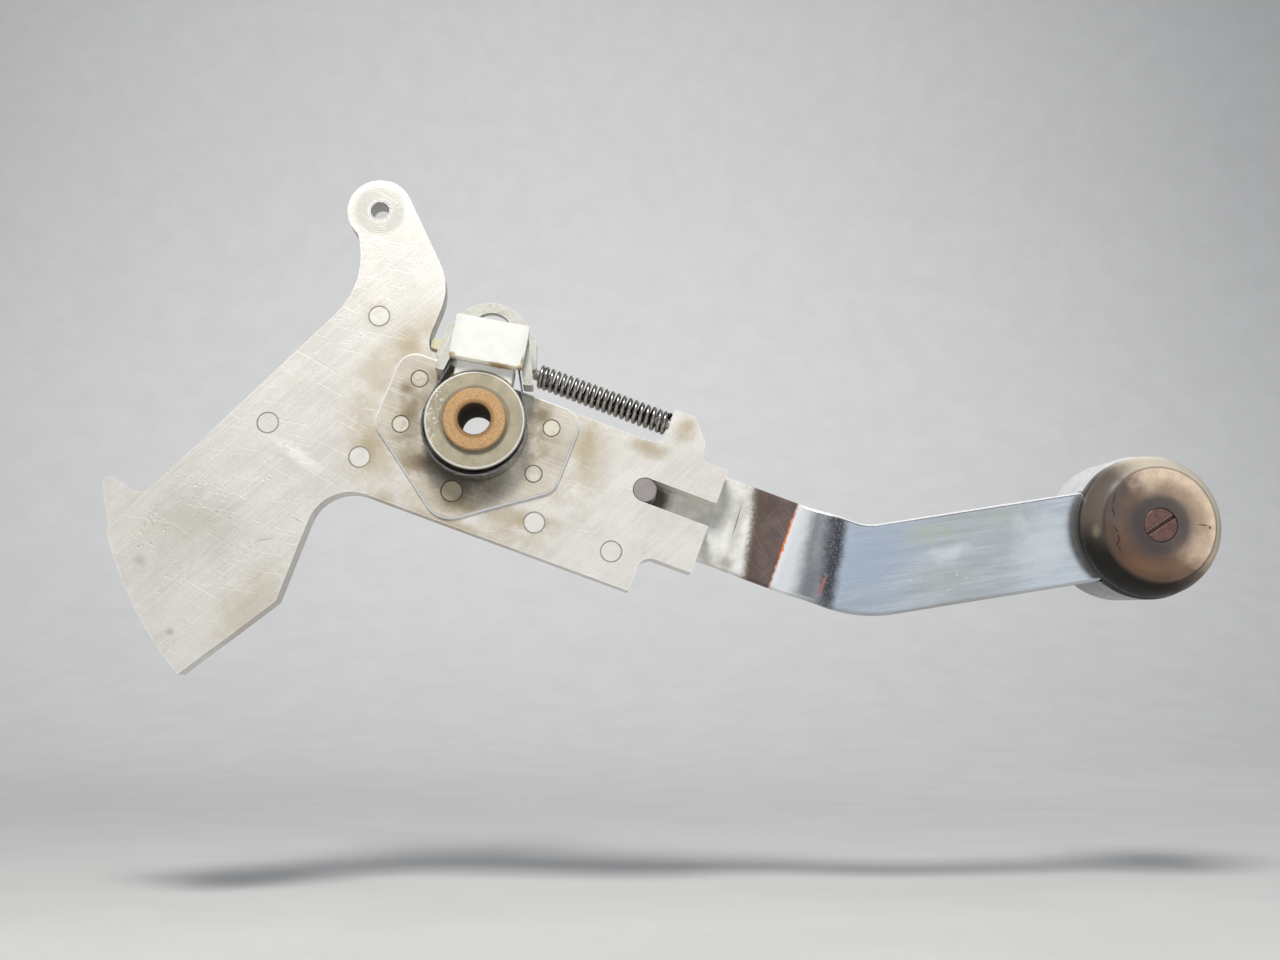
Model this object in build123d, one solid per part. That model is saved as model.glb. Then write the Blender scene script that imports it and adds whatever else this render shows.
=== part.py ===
from build123d import *

import os
from math import atan, cos, radians, sin, tan

# Power lever of an aircraft control quadrant, in millimetres.
# The origin is on the hub bore, in the joint plane of the two lever plates.
# +X is to the right, +Z is up and +Y points away from the knob's face side.
# Distances s run along the arm towards the knob, and t at right angles to it.

# Pose of the lever and of the brake yoke
ARM_DROOP = 20.6
YOKE_LEAN = 10.1

# Lever plates
PLATE_THICKNESS = 3.2
PLATE_TOP = 12.4
PLATE_BOTTOM = -25.6
SECTOR_RADIUS = 94.5
EYE_S = -44.9
EYE_T = 45.0
EYE_RADIUS = 8.4
SLOT_HALF_WIDTH = 3.15
PRONG_END = 64.1
EAR_LEFT = 45.9
EAR_TOP = 22.6

# Guide pin and its travel
PIN_S = 45.8
PIN_T = 0.1
PIN_RADIUS = 3.07
PIN_TAIL_RADIUS = 2.5
ARM_TRAVEL = 8.0

# Hub
BORE_RADIUS = 3.97
BUSH_RADIUS = 5.56
BUSH_FLANGE_RADIUS = 7.9
BUSH_FLANGE_THICKNESS = 1.4
SPIGOT_RADIUS = 8.0
DRUM_RADIUS = 11.9
DRUM_RIM_RADIUS = 12.6
DRUM_RIM_THICKNESS = 0.8
DRUM_LENGTH = 7.0
HUB_PLATE_THICKNESS = 1.0
HUB_PLATE_EDGE = 0.5

# Rivets
RIVET_RADIUS = 2.65
SMALL_RIVET_RADIUS = 2.15
RIVET_EDGE = 0.15
RIVET_LINE_T = -17.8
PLATE_RIVET_S = (-49.4, -24.6)
RAIL_RIVET_S = (22.6, 43.3)
HUB_RIVET_S = 0.4
NECK_RIVET = (-34.1, 18.3)
HUB_RIVET_HALF_PITCH_S = 18.0
HUB_RIVET_HALF_PITCH_T = 6.35

# Rail and keeper behind the plates
RAIL_TOP = -11.6
RAIL_THICKNESS = 3.5
KEEPER_THICKNESS = 1.6

# Eye bush
EYE_BORE_RADIUS = 2.38
EYE_BUSH_RADIUS = 3.0

# Arm bar
ARM_THICKNESS = 3.2
ARM_HALF_WIDTH = 11.75
ARM_CENTRE_T = 0.5
ARM_TAIL_S = 30.0
TANG_STEP_S = 52.7
TANG_RELIEF = 0.4
JOG_START = 84.5
JOG_LENGTH = 13.0
JOG_DEPTH = 3.3
BEND_S = 105.6
BEND_ANGLE = 29.6
BEND_RADIUS = 24.0
KNOB_FROM_BEND = 75.4
ARM_EDGE_RADIUS = 0.8

# Knob
KNOB_RADIUS = 18.2
KNOB_TILT = 4.8
KNOB_BASE_RADIUS = 18.8
KNOB_FACE_RADIUS = 14.6
KNOB_BASE_DEPTH = 20.6
KNOB_BASE_EDGE = 3.0
KNOB_FRONT_WALL = 4.7
KNOB_FRONT_HEIGHT = 10.2
SCREW_HEAD_RADIUS = 4.3
SCREW_SHANK_RADIUS = 2.4
INSERT_RADIUS = 3.6
INSERT_BACK = 10.4

# Brake parts round the drum
SHOE_HALF_WIDTH = 9.3
SHOE_LOW = 14.5
SHOE_HIGH = 25.6
SHOE_HEAD_THICKNESS = 2.4
SHOE_HEAD_BACK = -11.3
TONGUE_HALF_WIDTH = 7.35
SHOE_SPIGOT_RADIUS = 2.6
SPIGOT_HEIGHT = 22.8
RETAINER_RADIUS = 6.4
STRAP_RADIUS = 12.75
STRAP_THICKNESS = 0.5
STRAP_DROP = 0.95
STRAP_ANGLE = 18.7
STRAP_FRONT = -10.3
STRAP_BACK = -4.6
RING_SHIFT = -0.9
RING_HEIGHT = 22.3
RING_RADIUS = 10.5
RING_HOLE_HEIGHT = 24.9
RING_HOLE_RADIUS = 5.35
WEB_FRONT = -4.4
WEB_THICKNESS = 2.4
LEG_FRONT = -11.2
LEG_ANGLE = 16.0
LEG_THICKNESS = 2.6

# Springs
SPRING_WIRE = 1.15
SPRING_MEAN_RADIUS = 2.6
SPRING_T = 19.0
SPRING_START_S = 9.4
SPRING_END_S = 45.7
SPRING_TURNS = 22
RETURN_WIRE = 0.5
RETURN_MEAN_RADIUS = 1.25
RETURN_TURNS = 13
RETURN_POST_S = 12.6
RETURN_POST_RADIUS = 1.6
PLUG_RADIUS = 0.85
PLUG_END_S = 34.0
RETURN_DEPTH = 5.0
COIL_STEPS = 8
WIRE_SIDES = 6

# Gaps
FIT = 0.03
SLIDE_GAP = 0.1

PLATE_FRONT = -PLATE_THICKNESS
PLATE_BACK = PLATE_THICKNESS
HUB_FACE = PLATE_FRONT - HUB_PLATE_THICKNESS
DRUM_FACE = HUB_FACE - DRUM_LENGTH
RAIL_BACK = PLATE_BACK + RAIL_THICKNESS
KEEPER_BACK = RAIL_BACK + KEEPER_THICKNESS
ARM_FRONT = PLATE_BACK + SLIDE_GAP
ARM_BACK = ARM_FRONT + ARM_THICKNESS
ARM_FAR_FRONT = ARM_FRONT - JOG_DEPTH


def lever_plane(depth, along=0.0, up=0.0):
    """Plane that faces the front, with s and t as its axes, at a depth along Y."""
    c, k = cos(radians(ARM_DROOP)), sin(radians(ARM_DROOP))
    spot = (along * c + up * k, depth, up * c - along * k)
    return Plane(origin=spot, x_dir=(c, 0, -k), z_dir=(0, -1, 0))


def yoke_plane(depth):
    """Plane that faces the front, with the brake yoke upright in it."""
    c, k = cos(radians(YOKE_LEAN)), sin(radians(YOKE_LEAN))
    return Plane(origin=(0, depth, 0), x_dir=(c, 0, -k), z_dir=(0, -1, 0))


def lever_slab(sketch, front, back):
    """Solid of a lever outline between two depths."""
    return extrude(lever_plane(back) * sketch, amount=back - front)


def yoke_slab(sketch, front, back):
    """Solid of a yoke outline between two depths."""
    return extrude(yoke_plane(back) * sketch, amount=back - front)


def outline(corners):
    """Closed face from corner entries of s, t and corner radius."""
    points = [(s, t) for s, t, _ in corners]
    radii = [radius for _, _, radius in corners]
    return make_face(FilletPolyline(*points, radius=radii, close=True))


def disc(s, t, radius):
    """Round face at a place in the lever's axes."""
    return Pos(s, t) * Circle(radius)


def slot_cut(start, end, half_width):
    """Slot outline on the pin's line, round at its start."""
    length = end - start
    return disc(start, PIN_T, half_width) + Pos(start + length / 2, PIN_T) * Rectangle(
        length, 2 * half_width
    )


def plate_outline(fin):
    """Lever plate with eye, neck, sector lobe, ear and fork."""
    edge_slope = 0.4286
    sector_t = -110.0
    flank_s = -45.2 + edge_slope * (sector_t - 13.6)
    lobe_s = -29.8 + 14.1 / 23.2 * (sector_t + 58.6)
    flank = [(-40.3, 25.1, 22.5)]
    if fin:
        flank += [(-70.9, -46.4, 5.8), (-90.0, -41.6, 0.0), (-105.0, -70.0, 0.0)]
    flank += [(flank_s, sector_t, 0.0), (lobe_s, sector_t, 0.0)]
    lobe = [(-29.8, -58.6, 0.8), (-30.5, -26.1, 11.0)]
    fork = [
        (50.8, PLATE_BOTTOM, 0.4),
        (51.0, -15.8, 3.3),
        (PRONG_END, -15.75, 0.3),
        (PRONG_END, PLATE_TOP, 0.3),
        (56.8, PLATE_TOP, 1.8),
        (56.1, 17.3, 1.2),
        (51.2, EAR_TOP, 0.8),
        (EAR_LEFT, EAR_TOP, 0.6),
        (EAR_LEFT, PLATE_TOP, 3.5),
    ]
    neck = [(-20.1, PLATE_TOP, 6.5), (-20.1, 32.6, 16.0), (-39.1, 51.05, 0.0), (-52.5, 44.8, 0.0)]
    body = outline(flank + lobe + fork + neck) & Circle(SECTOR_RADIUS)
    face = body + disc(EYE_S, EYE_T, EYE_RADIUS)
    if fin:
        tip = face.vertices().sort_by_distance(Vector(-83.8, -43.2))[0]
        face = fillet(tip, 1.6)
    throat = face.vertices().sort_by_distance(Vector(-49.6, 38.0))[0]
    return fillet(throat, 3.0)


def rivet_places():
    """Every rivet that passes both plates, with its hole radius."""
    line = [(s, RIVET_LINE_T) for s in PLATE_RIVET_S + (HUB_RIVET_S,) + RAIL_RIVET_S]
    return line + [NECK_RIVET]


def small_rivet_places():
    """The four rivets of the hub plate."""
    signs = [(1, 1), (1, -1), (-1, 1), (-1, -1)]
    return [(a * HUB_RIVET_HALF_PITCH_S, b * HUB_RIVET_HALF_PITCH_T) for a, b in signs]


def holes(places, radius):
    """Round faces at several places."""
    return Sketch() + [disc(s, t, radius) for s, t in places]


def lever_plate(front, fin):
    """One lever plate with its slot and every hole."""
    face = plate_outline(fin)
    face -= slot_cut(PIN_S, PRONG_END + 5, SLOT_HALF_WIDTH)
    face -= holes(rivet_places(), RIVET_RADIUS + FIT)
    face -= holes(small_rivet_places(), SMALL_RIVET_RADIUS + FIT)
    face -= disc(EYE_S, EYE_T, EYE_BUSH_RADIUS + FIT)
    face -= Circle(SPIGOT_RADIUS + FIT)
    plate = lever_slab(face, front, front + PLATE_THICKNESS)
    return plate - spring_peg_body(FIT)


def rivet(s, t, radius, front, back):
    """Flush rivet with a fine edge at its front face."""
    shank = lever_slab(disc(s, t, radius), front, back)
    return chamfer(shank.edges().filter_by(GeomType.CIRCLE).sort_by(Axis.Y)[0], RIVET_EDGE)


def hub_plate():
    """Five-sided plate that carries the drum."""
    half = 24.7
    corners = [
        (-half, 12.6, 5.0),
        (-half, -8.6, 5.5),
        (0.1, -26.6, 7.0),
        (half, -8.6, 5.5),
        (half, 12.6, 5.0),
    ]
    face = outline(corners) - Circle(SPIGOT_RADIUS + FIT)
    face -= holes(small_rivet_places(), SMALL_RIVET_RADIUS + FIT)
    face -= disc(HUB_RIVET_S, RIVET_LINE_T, RIVET_RADIUS + FIT)
    plate = lever_slab(face, HUB_FACE, PLATE_FRONT)
    rim = plate.edges().filter_by_position(Axis.Y, HUB_FACE, HUB_FACE)
    return chamfer(rim.filter_by(lambda edge: not edge.is_closed), HUB_PLATE_EDGE)


def turned(profile_points):
    """Ring turned round the hub bore, from radius and depth points."""
    face = make_face(Plane.XY * Polyline(*profile_points, close=True))
    return revolve(face, axis=Axis.Y, revolution_arc=360)


def hub_drum():
    """Brake drum with a front rim and a spigot through the plates."""
    inner = BUSH_RADIUS + FIT
    rim_back = DRUM_FACE + DRUM_RIM_THICKNESS
    edge = 0.3
    return turned(
        [
            (inner, DRUM_FACE),
            (DRUM_RIM_RADIUS - edge, DRUM_FACE),
            (DRUM_RIM_RADIUS, DRUM_FACE + edge),
            (DRUM_RIM_RADIUS, rim_back),
            (DRUM_RADIUS, rim_back),
            (DRUM_RADIUS, HUB_FACE),
            (SPIGOT_RADIUS, HUB_FACE),
            (SPIGOT_RADIUS, PLATE_BACK),
            (inner, PLATE_BACK),
        ]
    )


def pivot_bush():
    """Flanged bronze bush of the pivot."""
    face = DRUM_FACE - BUSH_FLANGE_THICKNESS
    edge = 0.35
    return turned(
        [
            (BORE_RADIUS + edge, face),
            (BUSH_FLANGE_RADIUS - edge, face),
            (BUSH_FLANGE_RADIUS, face + edge),
            (BUSH_FLANGE_RADIUS, DRUM_FACE),
            (BUSH_RADIUS, DRUM_FACE),
            (BUSH_RADIUS, PLATE_BACK),
            (BORE_RADIUS, PLATE_BACK),
            (BORE_RADIUS, face + edge),
        ]
    )


def cable_bush():
    """Bush in the eye that takes the control cable's bolt."""
    ring = disc(EYE_S, EYE_T, EYE_BUSH_RADIUS) - disc(EYE_S, EYE_T, EYE_BORE_RADIUS)
    return lever_slab(ring, PLATE_FRONT, PLATE_BACK)


def guide_rail():
    """Spacer bar behind the plates that guides the arm's lower edge."""
    corners = [(-8, -23.4, 2), (49.6, -23.4, 1), (49.6, RAIL_TOP, 1), (-8, RAIL_TOP, 2)]
    face = outline(corners)
    face -= holes([(s, RIVET_LINE_T) for s in (HUB_RIVET_S,) + RAIL_RIVET_S], RIVET_RADIUS + FIT)
    return lever_slab(face, PLATE_BACK, RAIL_BACK)


def keeper_plate():
    """Rear plate that holds the arm in, with the slot that stops the pin."""
    corners = [
        (-8, -23.4, 2),
        (49.6, -23.4, 3),
        (49.6, -14.0, 2),
        (60.6, -14.0, 3),
        (60.6, 8.6, 3),
        (38.0, 8.6, 4),
        (31.0, RAIL_TOP, 8),
        (-8, RAIL_TOP, 2),
    ]
    half = PIN_TAIL_RADIUS + SLIDE_GAP
    end = PIN_S + ARM_TRAVEL
    face = outline(corners) - slot_cut(PIN_S, end, half) - disc(end, PIN_T, half)
    face -= holes([(s, RIVET_LINE_T) for s in (HUB_RIVET_S,) + RAIL_RIVET_S], RIVET_RADIUS + FIT)
    return lever_slab(face, RAIL_BACK, KEEPER_BACK)


def arm_plan():
    """Outline of the arm bar seen from the front, bent in its own plane."""
    turn = radians(BEND_ANGLE)
    shift = ARM_HALF_WIDTH * tan(turn / 2)
    low = ARM_CENTRE_T - ARM_HALF_WIDTH
    high = ARM_CENTRE_T + ARM_HALF_WIDTH
    reach = KNOB_FROM_BEND + 9.0
    away_s, away_t = ARM_HALF_WIDTH * sin(turn), ARM_HALF_WIDTH * cos(turn)
    tip_s = BEND_S + reach * cos(turn)
    tip_t = ARM_CENTRE_T + reach * sin(turn)
    corners = [
        (ARM_TAIL_S, low, 5.0),
        (BEND_S + shift, low, BEND_RADIUS + ARM_HALF_WIDTH),
        (tip_s + away_s, tip_t - away_t, 8.0),
        (tip_s - away_s, tip_t + away_t, 8.0),
        (BEND_S - shift, high, BEND_RADIUS - ARM_HALF_WIDTH),
        (ARM_TAIL_S, high, 5.0),
    ]
    return outline(corners) - disc(PIN_S, PIN_T, PIN_RADIUS + FIT)


def arm_profile():
    """Edge view of the arm bar in s and depth, with its jog."""
    half_turn = atan(JOG_DEPTH / JOG_LENGTH)
    radius = JOG_LENGTH / 2 / sin(2 * half_turn)
    near, far = ARM_FRONT + ARM_THICKNESS / 2, ARM_FAR_FRONT + ARM_THICKNESS / 2
    reach = radius * tan(half_turn)
    middle = FilletPolyline(
        (0, near),
        (JOG_START + reach, near),
        (JOG_START + JOG_LENGTH - reach, far),
        (200, far),
        radius=radius * 0.98,
    )
    return trace(middle, line_width=ARM_THICKNESS)


def arm_bar():
    """Flat arm with a jog towards the front and a bend in its plane."""
    deep = 12.0
    plan = lever_slab(arm_plan(), -deep, deep)
    c, k = cos(radians(ARM_DROOP)), sin(radians(ARM_DROOP))
    side = Plane(origin=(0, 0, 0), x_dir=(c, 0, -k), z_dir=(k, 0, c))
    bar = plan & extrude(side * arm_profile(), amount=60, both=True)
    bar = fillet(bar.edges().filter_by(lambda edge: edge.length > 40), ARM_EDGE_RADIUS)
    length = TANG_STEP_S - ARM_TAIL_S + 5
    relief = Pos(TANG_STEP_S - length / 2, 0) * Rectangle(length, 60)
    bar -= lever_slab(relief, ARM_FRONT - 1, ARM_FRONT + TANG_RELIEF)
    bar -= knob_bore(SCREW_SHANK_RADIUS + FIT, ARM_FAR_FRONT - 1, ARM_FAR_FRONT + ARM_THICKNESS + 1)
    return bar - spring_plug(ARM_TAIL_S - 1, PLUG_END_S, FIT)


def guide_pin():
    """Stepped pin that rides in the plates' slot and the keeper's slot."""
    head = lever_slab(disc(PIN_S, PIN_T, PIN_RADIUS), PLATE_FRONT, ARM_BACK)
    tail = lever_slab(disc(PIN_S, PIN_T, PIN_TAIL_RADIUS), ARM_BACK, KEEPER_BACK)
    pin = head + tail
    front_edge = pin.edges().filter_by(GeomType.CIRCLE).sort_by(Axis.Y)[0]
    return chamfer(front_edge, 0.25)


def knob_centre():
    """Place of the knob's axis in X and Z."""
    turn, droop = radians(BEND_ANGLE), radians(ARM_DROOP)
    s = BEND_S + KNOB_FROM_BEND * cos(turn)
    t = ARM_CENTRE_T + KNOB_FROM_BEND * sin(turn)
    return s * cos(droop) + t * sin(droop), t * cos(droop) - s * sin(droop)


def knob_place():
    """Place of the knob's axis, which leans a little against the arm's face."""
    x, z = knob_centre()
    return Pos(x, 0, z) * Rot(KNOB_TILT, 0, 0)


def knob_turned(profile):
    """Solid turned round the knob's axis, from a face in radius and depth."""
    return knob_place() * revolve(Plane.XY * profile, axis=Axis.Y, revolution_arc=360)


def knob_bore(radius, front, back):
    """Round bore along the knob's axis."""
    corners = [(0, front, 0), (radius, front, 0), (radius, back, 0), (0, back, 0)]
    return knob_turned(outline(corners))


def knob_side(joint, front):
    """Block that holds all of the knob in front of or behind its joint."""
    x, z = knob_centre()
    half = 30.0
    return Pos(x, joint - half if front else joint + half, z) * Box(60, 2 * half, 60)


def arm_channel():
    """Room for the arm bar, cut in the rear half of the knob."""
    x, z = knob_centre()
    rise = BEND_ANGLE - ARM_DROOP
    gap = 0.15
    length = 60.0
    block = Box(length, 20, 2 * ARM_HALF_WIDTH + 2 * gap)
    depth = ARM_FAR_FRONT + ARM_THICKNESS + gap
    shift = Pos(9.0 + gap - length / 2, depth - 10, 0)
    return Pos(x, 0, z) * Rot(0, -rise, 0) * shift * block


def knob_front():
    """Front half of the knob, with a domed shoulder and a raised face."""
    base = ARM_FAR_FRONT - 0.05
    rim = base - KNOB_FRONT_WALL
    top = base - KNOB_FRONT_HEIGHT
    step = 0.45
    head_depth = 1.7
    deep = base + 3.0
    line = Line((SCREW_SHANK_RADIUS + 0.15, deep), (KNOB_RADIUS, deep))
    line += Line((KNOB_RADIUS, deep), (KNOB_RADIUS, rim))
    line += ThreePointArc(
        (KNOB_RADIUS, rim), (KNOB_RADIUS - 0.9, rim - 2.4), (KNOB_FACE_RADIUS, top + step)
    )
    line += Line((KNOB_FACE_RADIUS, top + step), (KNOB_FACE_RADIUS - 0.4, top))
    line += Line((KNOB_FACE_RADIUS - 0.4, top), (SCREW_HEAD_RADIUS + 0.12, top))
    line += Line((SCREW_HEAD_RADIUS + 0.12, top), (SCREW_HEAD_RADIUS + 0.12, top + head_depth))
    line += Line(
        (SCREW_HEAD_RADIUS + 0.12, top + head_depth), (SCREW_SHANK_RADIUS + 0.15, top + head_depth)
    )
    line += Line((SCREW_SHANK_RADIUS + 0.15, top + head_depth), (SCREW_SHANK_RADIUS + 0.15, deep))
    return knob_turned(make_face(line)) & knob_side(base, front=True)


def knob_rear():
    """Rear half of the knob, with the arm's channel and the insert's bore."""
    base = ARM_FAR_FRONT + 0.05
    back = base + KNOB_BASE_DEPTH
    corners = [
        (0, base - 3, 0),
        (KNOB_BASE_RADIUS, base - 3, 0),
        (KNOB_BASE_RADIUS, back, KNOB_BASE_EDGE),
        (0, back, 0),
    ]
    body = knob_turned(outline(corners)) & knob_side(base, front=False)
    return body - arm_channel() - knob_bore(INSERT_RADIUS + FIT, base - 1, INSERT_BACK + 0.1)


def knob_screw():
    """Slotted screw with a flat head, flush with the knob's face."""
    top = ARM_FAR_FRONT - 0.05 - KNOB_FRONT_HEIGHT
    head_depth = 1.6
    end = top + 20.2
    corners = [
        (0, top, 0),
        (SCREW_HEAD_RADIUS, top, 0.3),
        (SCREW_HEAD_RADIUS, top + head_depth, 0),
        (SCREW_SHANK_RADIUS, top + head_depth, 0),
        (SCREW_SHANK_RADIUS, end, 0.4),
        (0, end, 0),
    ]
    slot = knob_place() * Pos(0, top, 0) * Rot(0, -32, 0) * Box(2.2 * SCREW_HEAD_RADIUS, 1.6, 1.1)
    return knob_turned(outline(corners)) - slot


def knob_insert():
    """Threaded insert in the rear half that the screw pulls on."""
    front = ARM_FAR_FRONT + ARM_THICKNESS + 0.5
    ring = knob_bore(INSERT_RADIUS, front, INSERT_BACK)
    return ring - knob_bore(SCREW_SHANK_RADIUS + FIT, front - 1, INSERT_BACK + 1)


def leg_outline(side):
    """Section of one yoke leg across its thickness, leaning inwards to the top."""
    lean = tan(radians(LEG_ANGLE))
    low, high = 11.4, 23.0
    outer_low = 12.75
    outer_high = outer_low - (high - low) * lean
    corners = [
        (side * outer_low, low, 0.5),
        (side * outer_high, high, 0.0),
        (side * (outer_high - LEG_THICKNESS), high, 0.0),
        (side * (outer_low - LEG_THICKNESS), low - 0.3, 0.5),
    ]
    return outline(corners)


def flange_outline(side):
    """Section of one rear flange of the yoke."""
    low, high = 16.6, 26.0
    outer_low = 14.1 if side < 0 else 12.3
    corners = [
        (side * outer_low, low, 0.6),
        (side * (outer_low - 1.6), high, 1.2),
        (side * (outer_low - 4.6), high, 0.0),
        (side * (outer_low - 2.4), low, 0.6),
    ]
    return outline(corners)


def yoke():
    """Brake yoke with its ring tab, two front legs and two rear flanges."""
    web_back = WEB_FRONT + WEB_THICKNESS
    web = outline(
        [
            (-13.0, 17.2, 0.8),
            (12.3, 17.2, 0.8),
            (10.6, 25.6, 1.2),
            (6.5, 28.0, 0.0),
            (-6.5, 28.0, 0.0),
            (-11.4, 25.6, 1.2),
        ]
    )
    web = web + disc(RING_SHIFT, RING_HEIGHT, RING_RADIUS)
    web -= disc(RING_SHIFT, RING_HOLE_HEIGHT, RING_HOLE_RADIUS)
    web -= Pos(0, 13.2) * Rectangle(30, 8)
    body = yoke_slab(web, WEB_FRONT, web_back)
    for side in (-1, 1):
        body += yoke_slab(leg_outline(side), LEG_FRONT, WEB_FRONT)
        body += yoke_slab(leg_outline(side) - Pos(0, 13.2) * Rectangle(30, 8), WEB_FRONT, web_back)
        body += yoke_slab(flange_outline(side), web_back, 3.0)
    return body + spring_seat(0.0)


def spring_seat(gap):
    """Peg on the yoke that the long spring sits over."""
    radius = 1.35 + gap
    return extrude(spring_section(8.2, radius), amount=4.2 + gap)


def spring_section(s, radius):
    """Round face across the long spring's axis, facing along the arm."""
    c, k = cos(radians(ARM_DROOP)), sin(radians(ARM_DROOP))
    spot = (s * c + SPRING_T * k, 0, SPRING_T * c - s * k)
    return Plane(origin=spot, x_dir=(0, 1, 0), z_dir=(c, 0, -k)) * Circle(radius)


def spring_peg_body(gap):
    """Peg driven into the ear, which centres the long spring."""
    return extrude(spring_section(41.6, 1.35 + gap), amount=7.6 + gap)


def coil(wire, mean_radius, turns, start, end, up, depth):
    """Open coil with its axis along the arm, in short straight steps of wire."""
    length = end - start - wire
    helix = Helix(pitch=length / turns, height=length, radius=mean_radius)
    count = turns * COIL_STEPS
    wire_line = Polyline(*[helix @ (step / count) for step in range(count + 1)])
    section = Plane(origin=wire_line @ 0, z_dir=wire_line % 0) * RegularPolygon(wire / 2, WIRE_SIDES)
    body = sweep(section, path=wire_line, transition=Transition.RIGHT)
    c, k = cos(radians(ARM_DROOP)), sin(radians(ARM_DROOP))
    first = start + wire / 2
    spot = (first * c + up * k, depth, up * c - first * k)
    return Plane(origin=spot, x_dir=(0, 1, 0), z_dir=(c, 0, -k)) * body


def spring_plug(start, end, gap):
    """Round plug along the arm that an end of the return spring is wound on."""
    c, k = cos(radians(ARM_DROOP)), sin(radians(ARM_DROOP))
    spot = (start * c + PIN_T * k, RETURN_DEPTH, PIN_T * c - start * k)
    face = Plane(origin=spot, x_dir=(0, 1, 0), z_dir=(c, 0, -k)) * Circle(PLUG_RADIUS + gap)
    return extrude(face, amount=end - start)


def return_post():
    """Post behind the plates that holds the fixed end of the return spring."""
    stem = lever_slab(disc(RETURN_POST_S, PIN_T, RETURN_POST_RADIUS), PLATE_BACK, RAIL_BACK)
    return stem + spring_plug(RETURN_POST_S, RETURN_POST_S + 5.0, 0.0)


def strap_reach(height, gap):
    """Half width inside the strap's legs at a height, less a gap."""
    lean = radians(STRAP_ANGLE)
    foot = STRAP_RADIUS * sin(lean) - STRAP_DROP
    return STRAP_RADIUS * cos(lean) - (height - foot) * tan(lean) - gap


def tongue_outline(drum_radius):
    """Shoe tongue that sits on the drum between the strap's legs."""
    top = 22.0
    shoulder = 14.6
    half = TONGUE_HALF_WIDTH
    peak = strap_reach(top, 0.08)
    face = outline(
        [
            (-half, 9.0, 0),
            (half, 9.0, 0),
            (half, shoulder, 0),
            (peak, top, 0.4),
            (-peak, top, 0.4),
            (-half, shoulder, 0),
        ]
    )
    return face - Circle(drum_radius + SLIDE_GAP)


def shoe():
    """Nylon brake shoe with its head, tongue and spigot."""
    low, high = SHOE_LOW, SHOE_HIGH
    half = SHOE_HALF_WIDTH
    block = outline([(-half, low, 0.4), (half, low, 0.4), (half, high, 0.4), (-half, high, 0.4)])
    head = yoke_slab(block, SHOE_HEAD_BACK - SHOE_HEAD_THICKNESS, SHOE_HEAD_BACK)
    rim_back = DRUM_FACE + DRUM_RIM_THICKNESS + SLIDE_GAP
    collar = yoke_slab(tongue_outline(DRUM_RIM_RADIUS), SHOE_HEAD_BACK, rim_back)
    tongue = yoke_slab(tongue_outline(DRUM_RADIUS), rim_back, WEB_FRONT - SLIDE_GAP)
    spigot_end = WEB_FRONT + WEB_THICKNESS + 1.2
    spigot = yoke_slab(disc(RING_SHIFT, SPIGOT_HEIGHT, SHOE_SPIGOT_RADIUS), SHOE_HEAD_BACK, spigot_end)
    return head + collar + tongue + spigot


def shoe_retainer():
    """Push-on ring that keeps the shoe's spigot in the yoke."""
    start = WEB_FRONT + WEB_THICKNESS + 0.1
    ring = disc(RING_SHIFT, SPIGOT_HEIGHT, RETAINER_RADIUS)
    ring -= disc(RING_SHIFT, SPIGOT_HEIGHT, SHOE_SPIGOT_RADIUS + FIT)
    return yoke_slab(ring, start, start + 0.8)


def strap_outline(inner):
    """One side of the strap: a round bottom with two straight legs."""
    lean = radians(STRAP_ANGLE)
    top = 21.4
    drop = Pos(0, -STRAP_DROP)
    foot = (inner * cos(lean), inner * sin(lean) - STRAP_DROP)
    reach = (top - foot[1]) / cos(lean)
    tip = (foot[0] - reach * sin(lean), top)
    wedge = outline([(-foot[0], foot[1], 0), foot + (0,), tip + (0,), (-tip[0], top, 0)])
    lower = drop * Circle(inner) - Pos(0, foot[1] + 25) * Rectangle(60, 50)
    return lower + wedge


def brake_strap():
    """Thin steel strap that hangs round the drum."""
    band = strap_outline(STRAP_RADIUS + STRAP_THICKNESS) - strap_outline(STRAP_RADIUS)
    band -= Pos(0, 26.2) * Rectangle(30, 10)
    return yoke_slab(band, STRAP_FRONT, STRAP_BACK)


def yoke_bumper():
    """Small nylon pad between the yoke and the lever's neck."""
    pad = outline([(-16.0, 18.9, 0.6), (-13.78, 18.7, 0), (-13.32, 21.4, 0), (-16.0, 21.6, 0.6)])
    return yoke_slab(pad, -1.4, 2.4)


def write(name, shape):
    """Write one sub-part, named as its node."""
    shape.label = name
    export_step(shape, f"parts/{name}.step")


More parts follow.
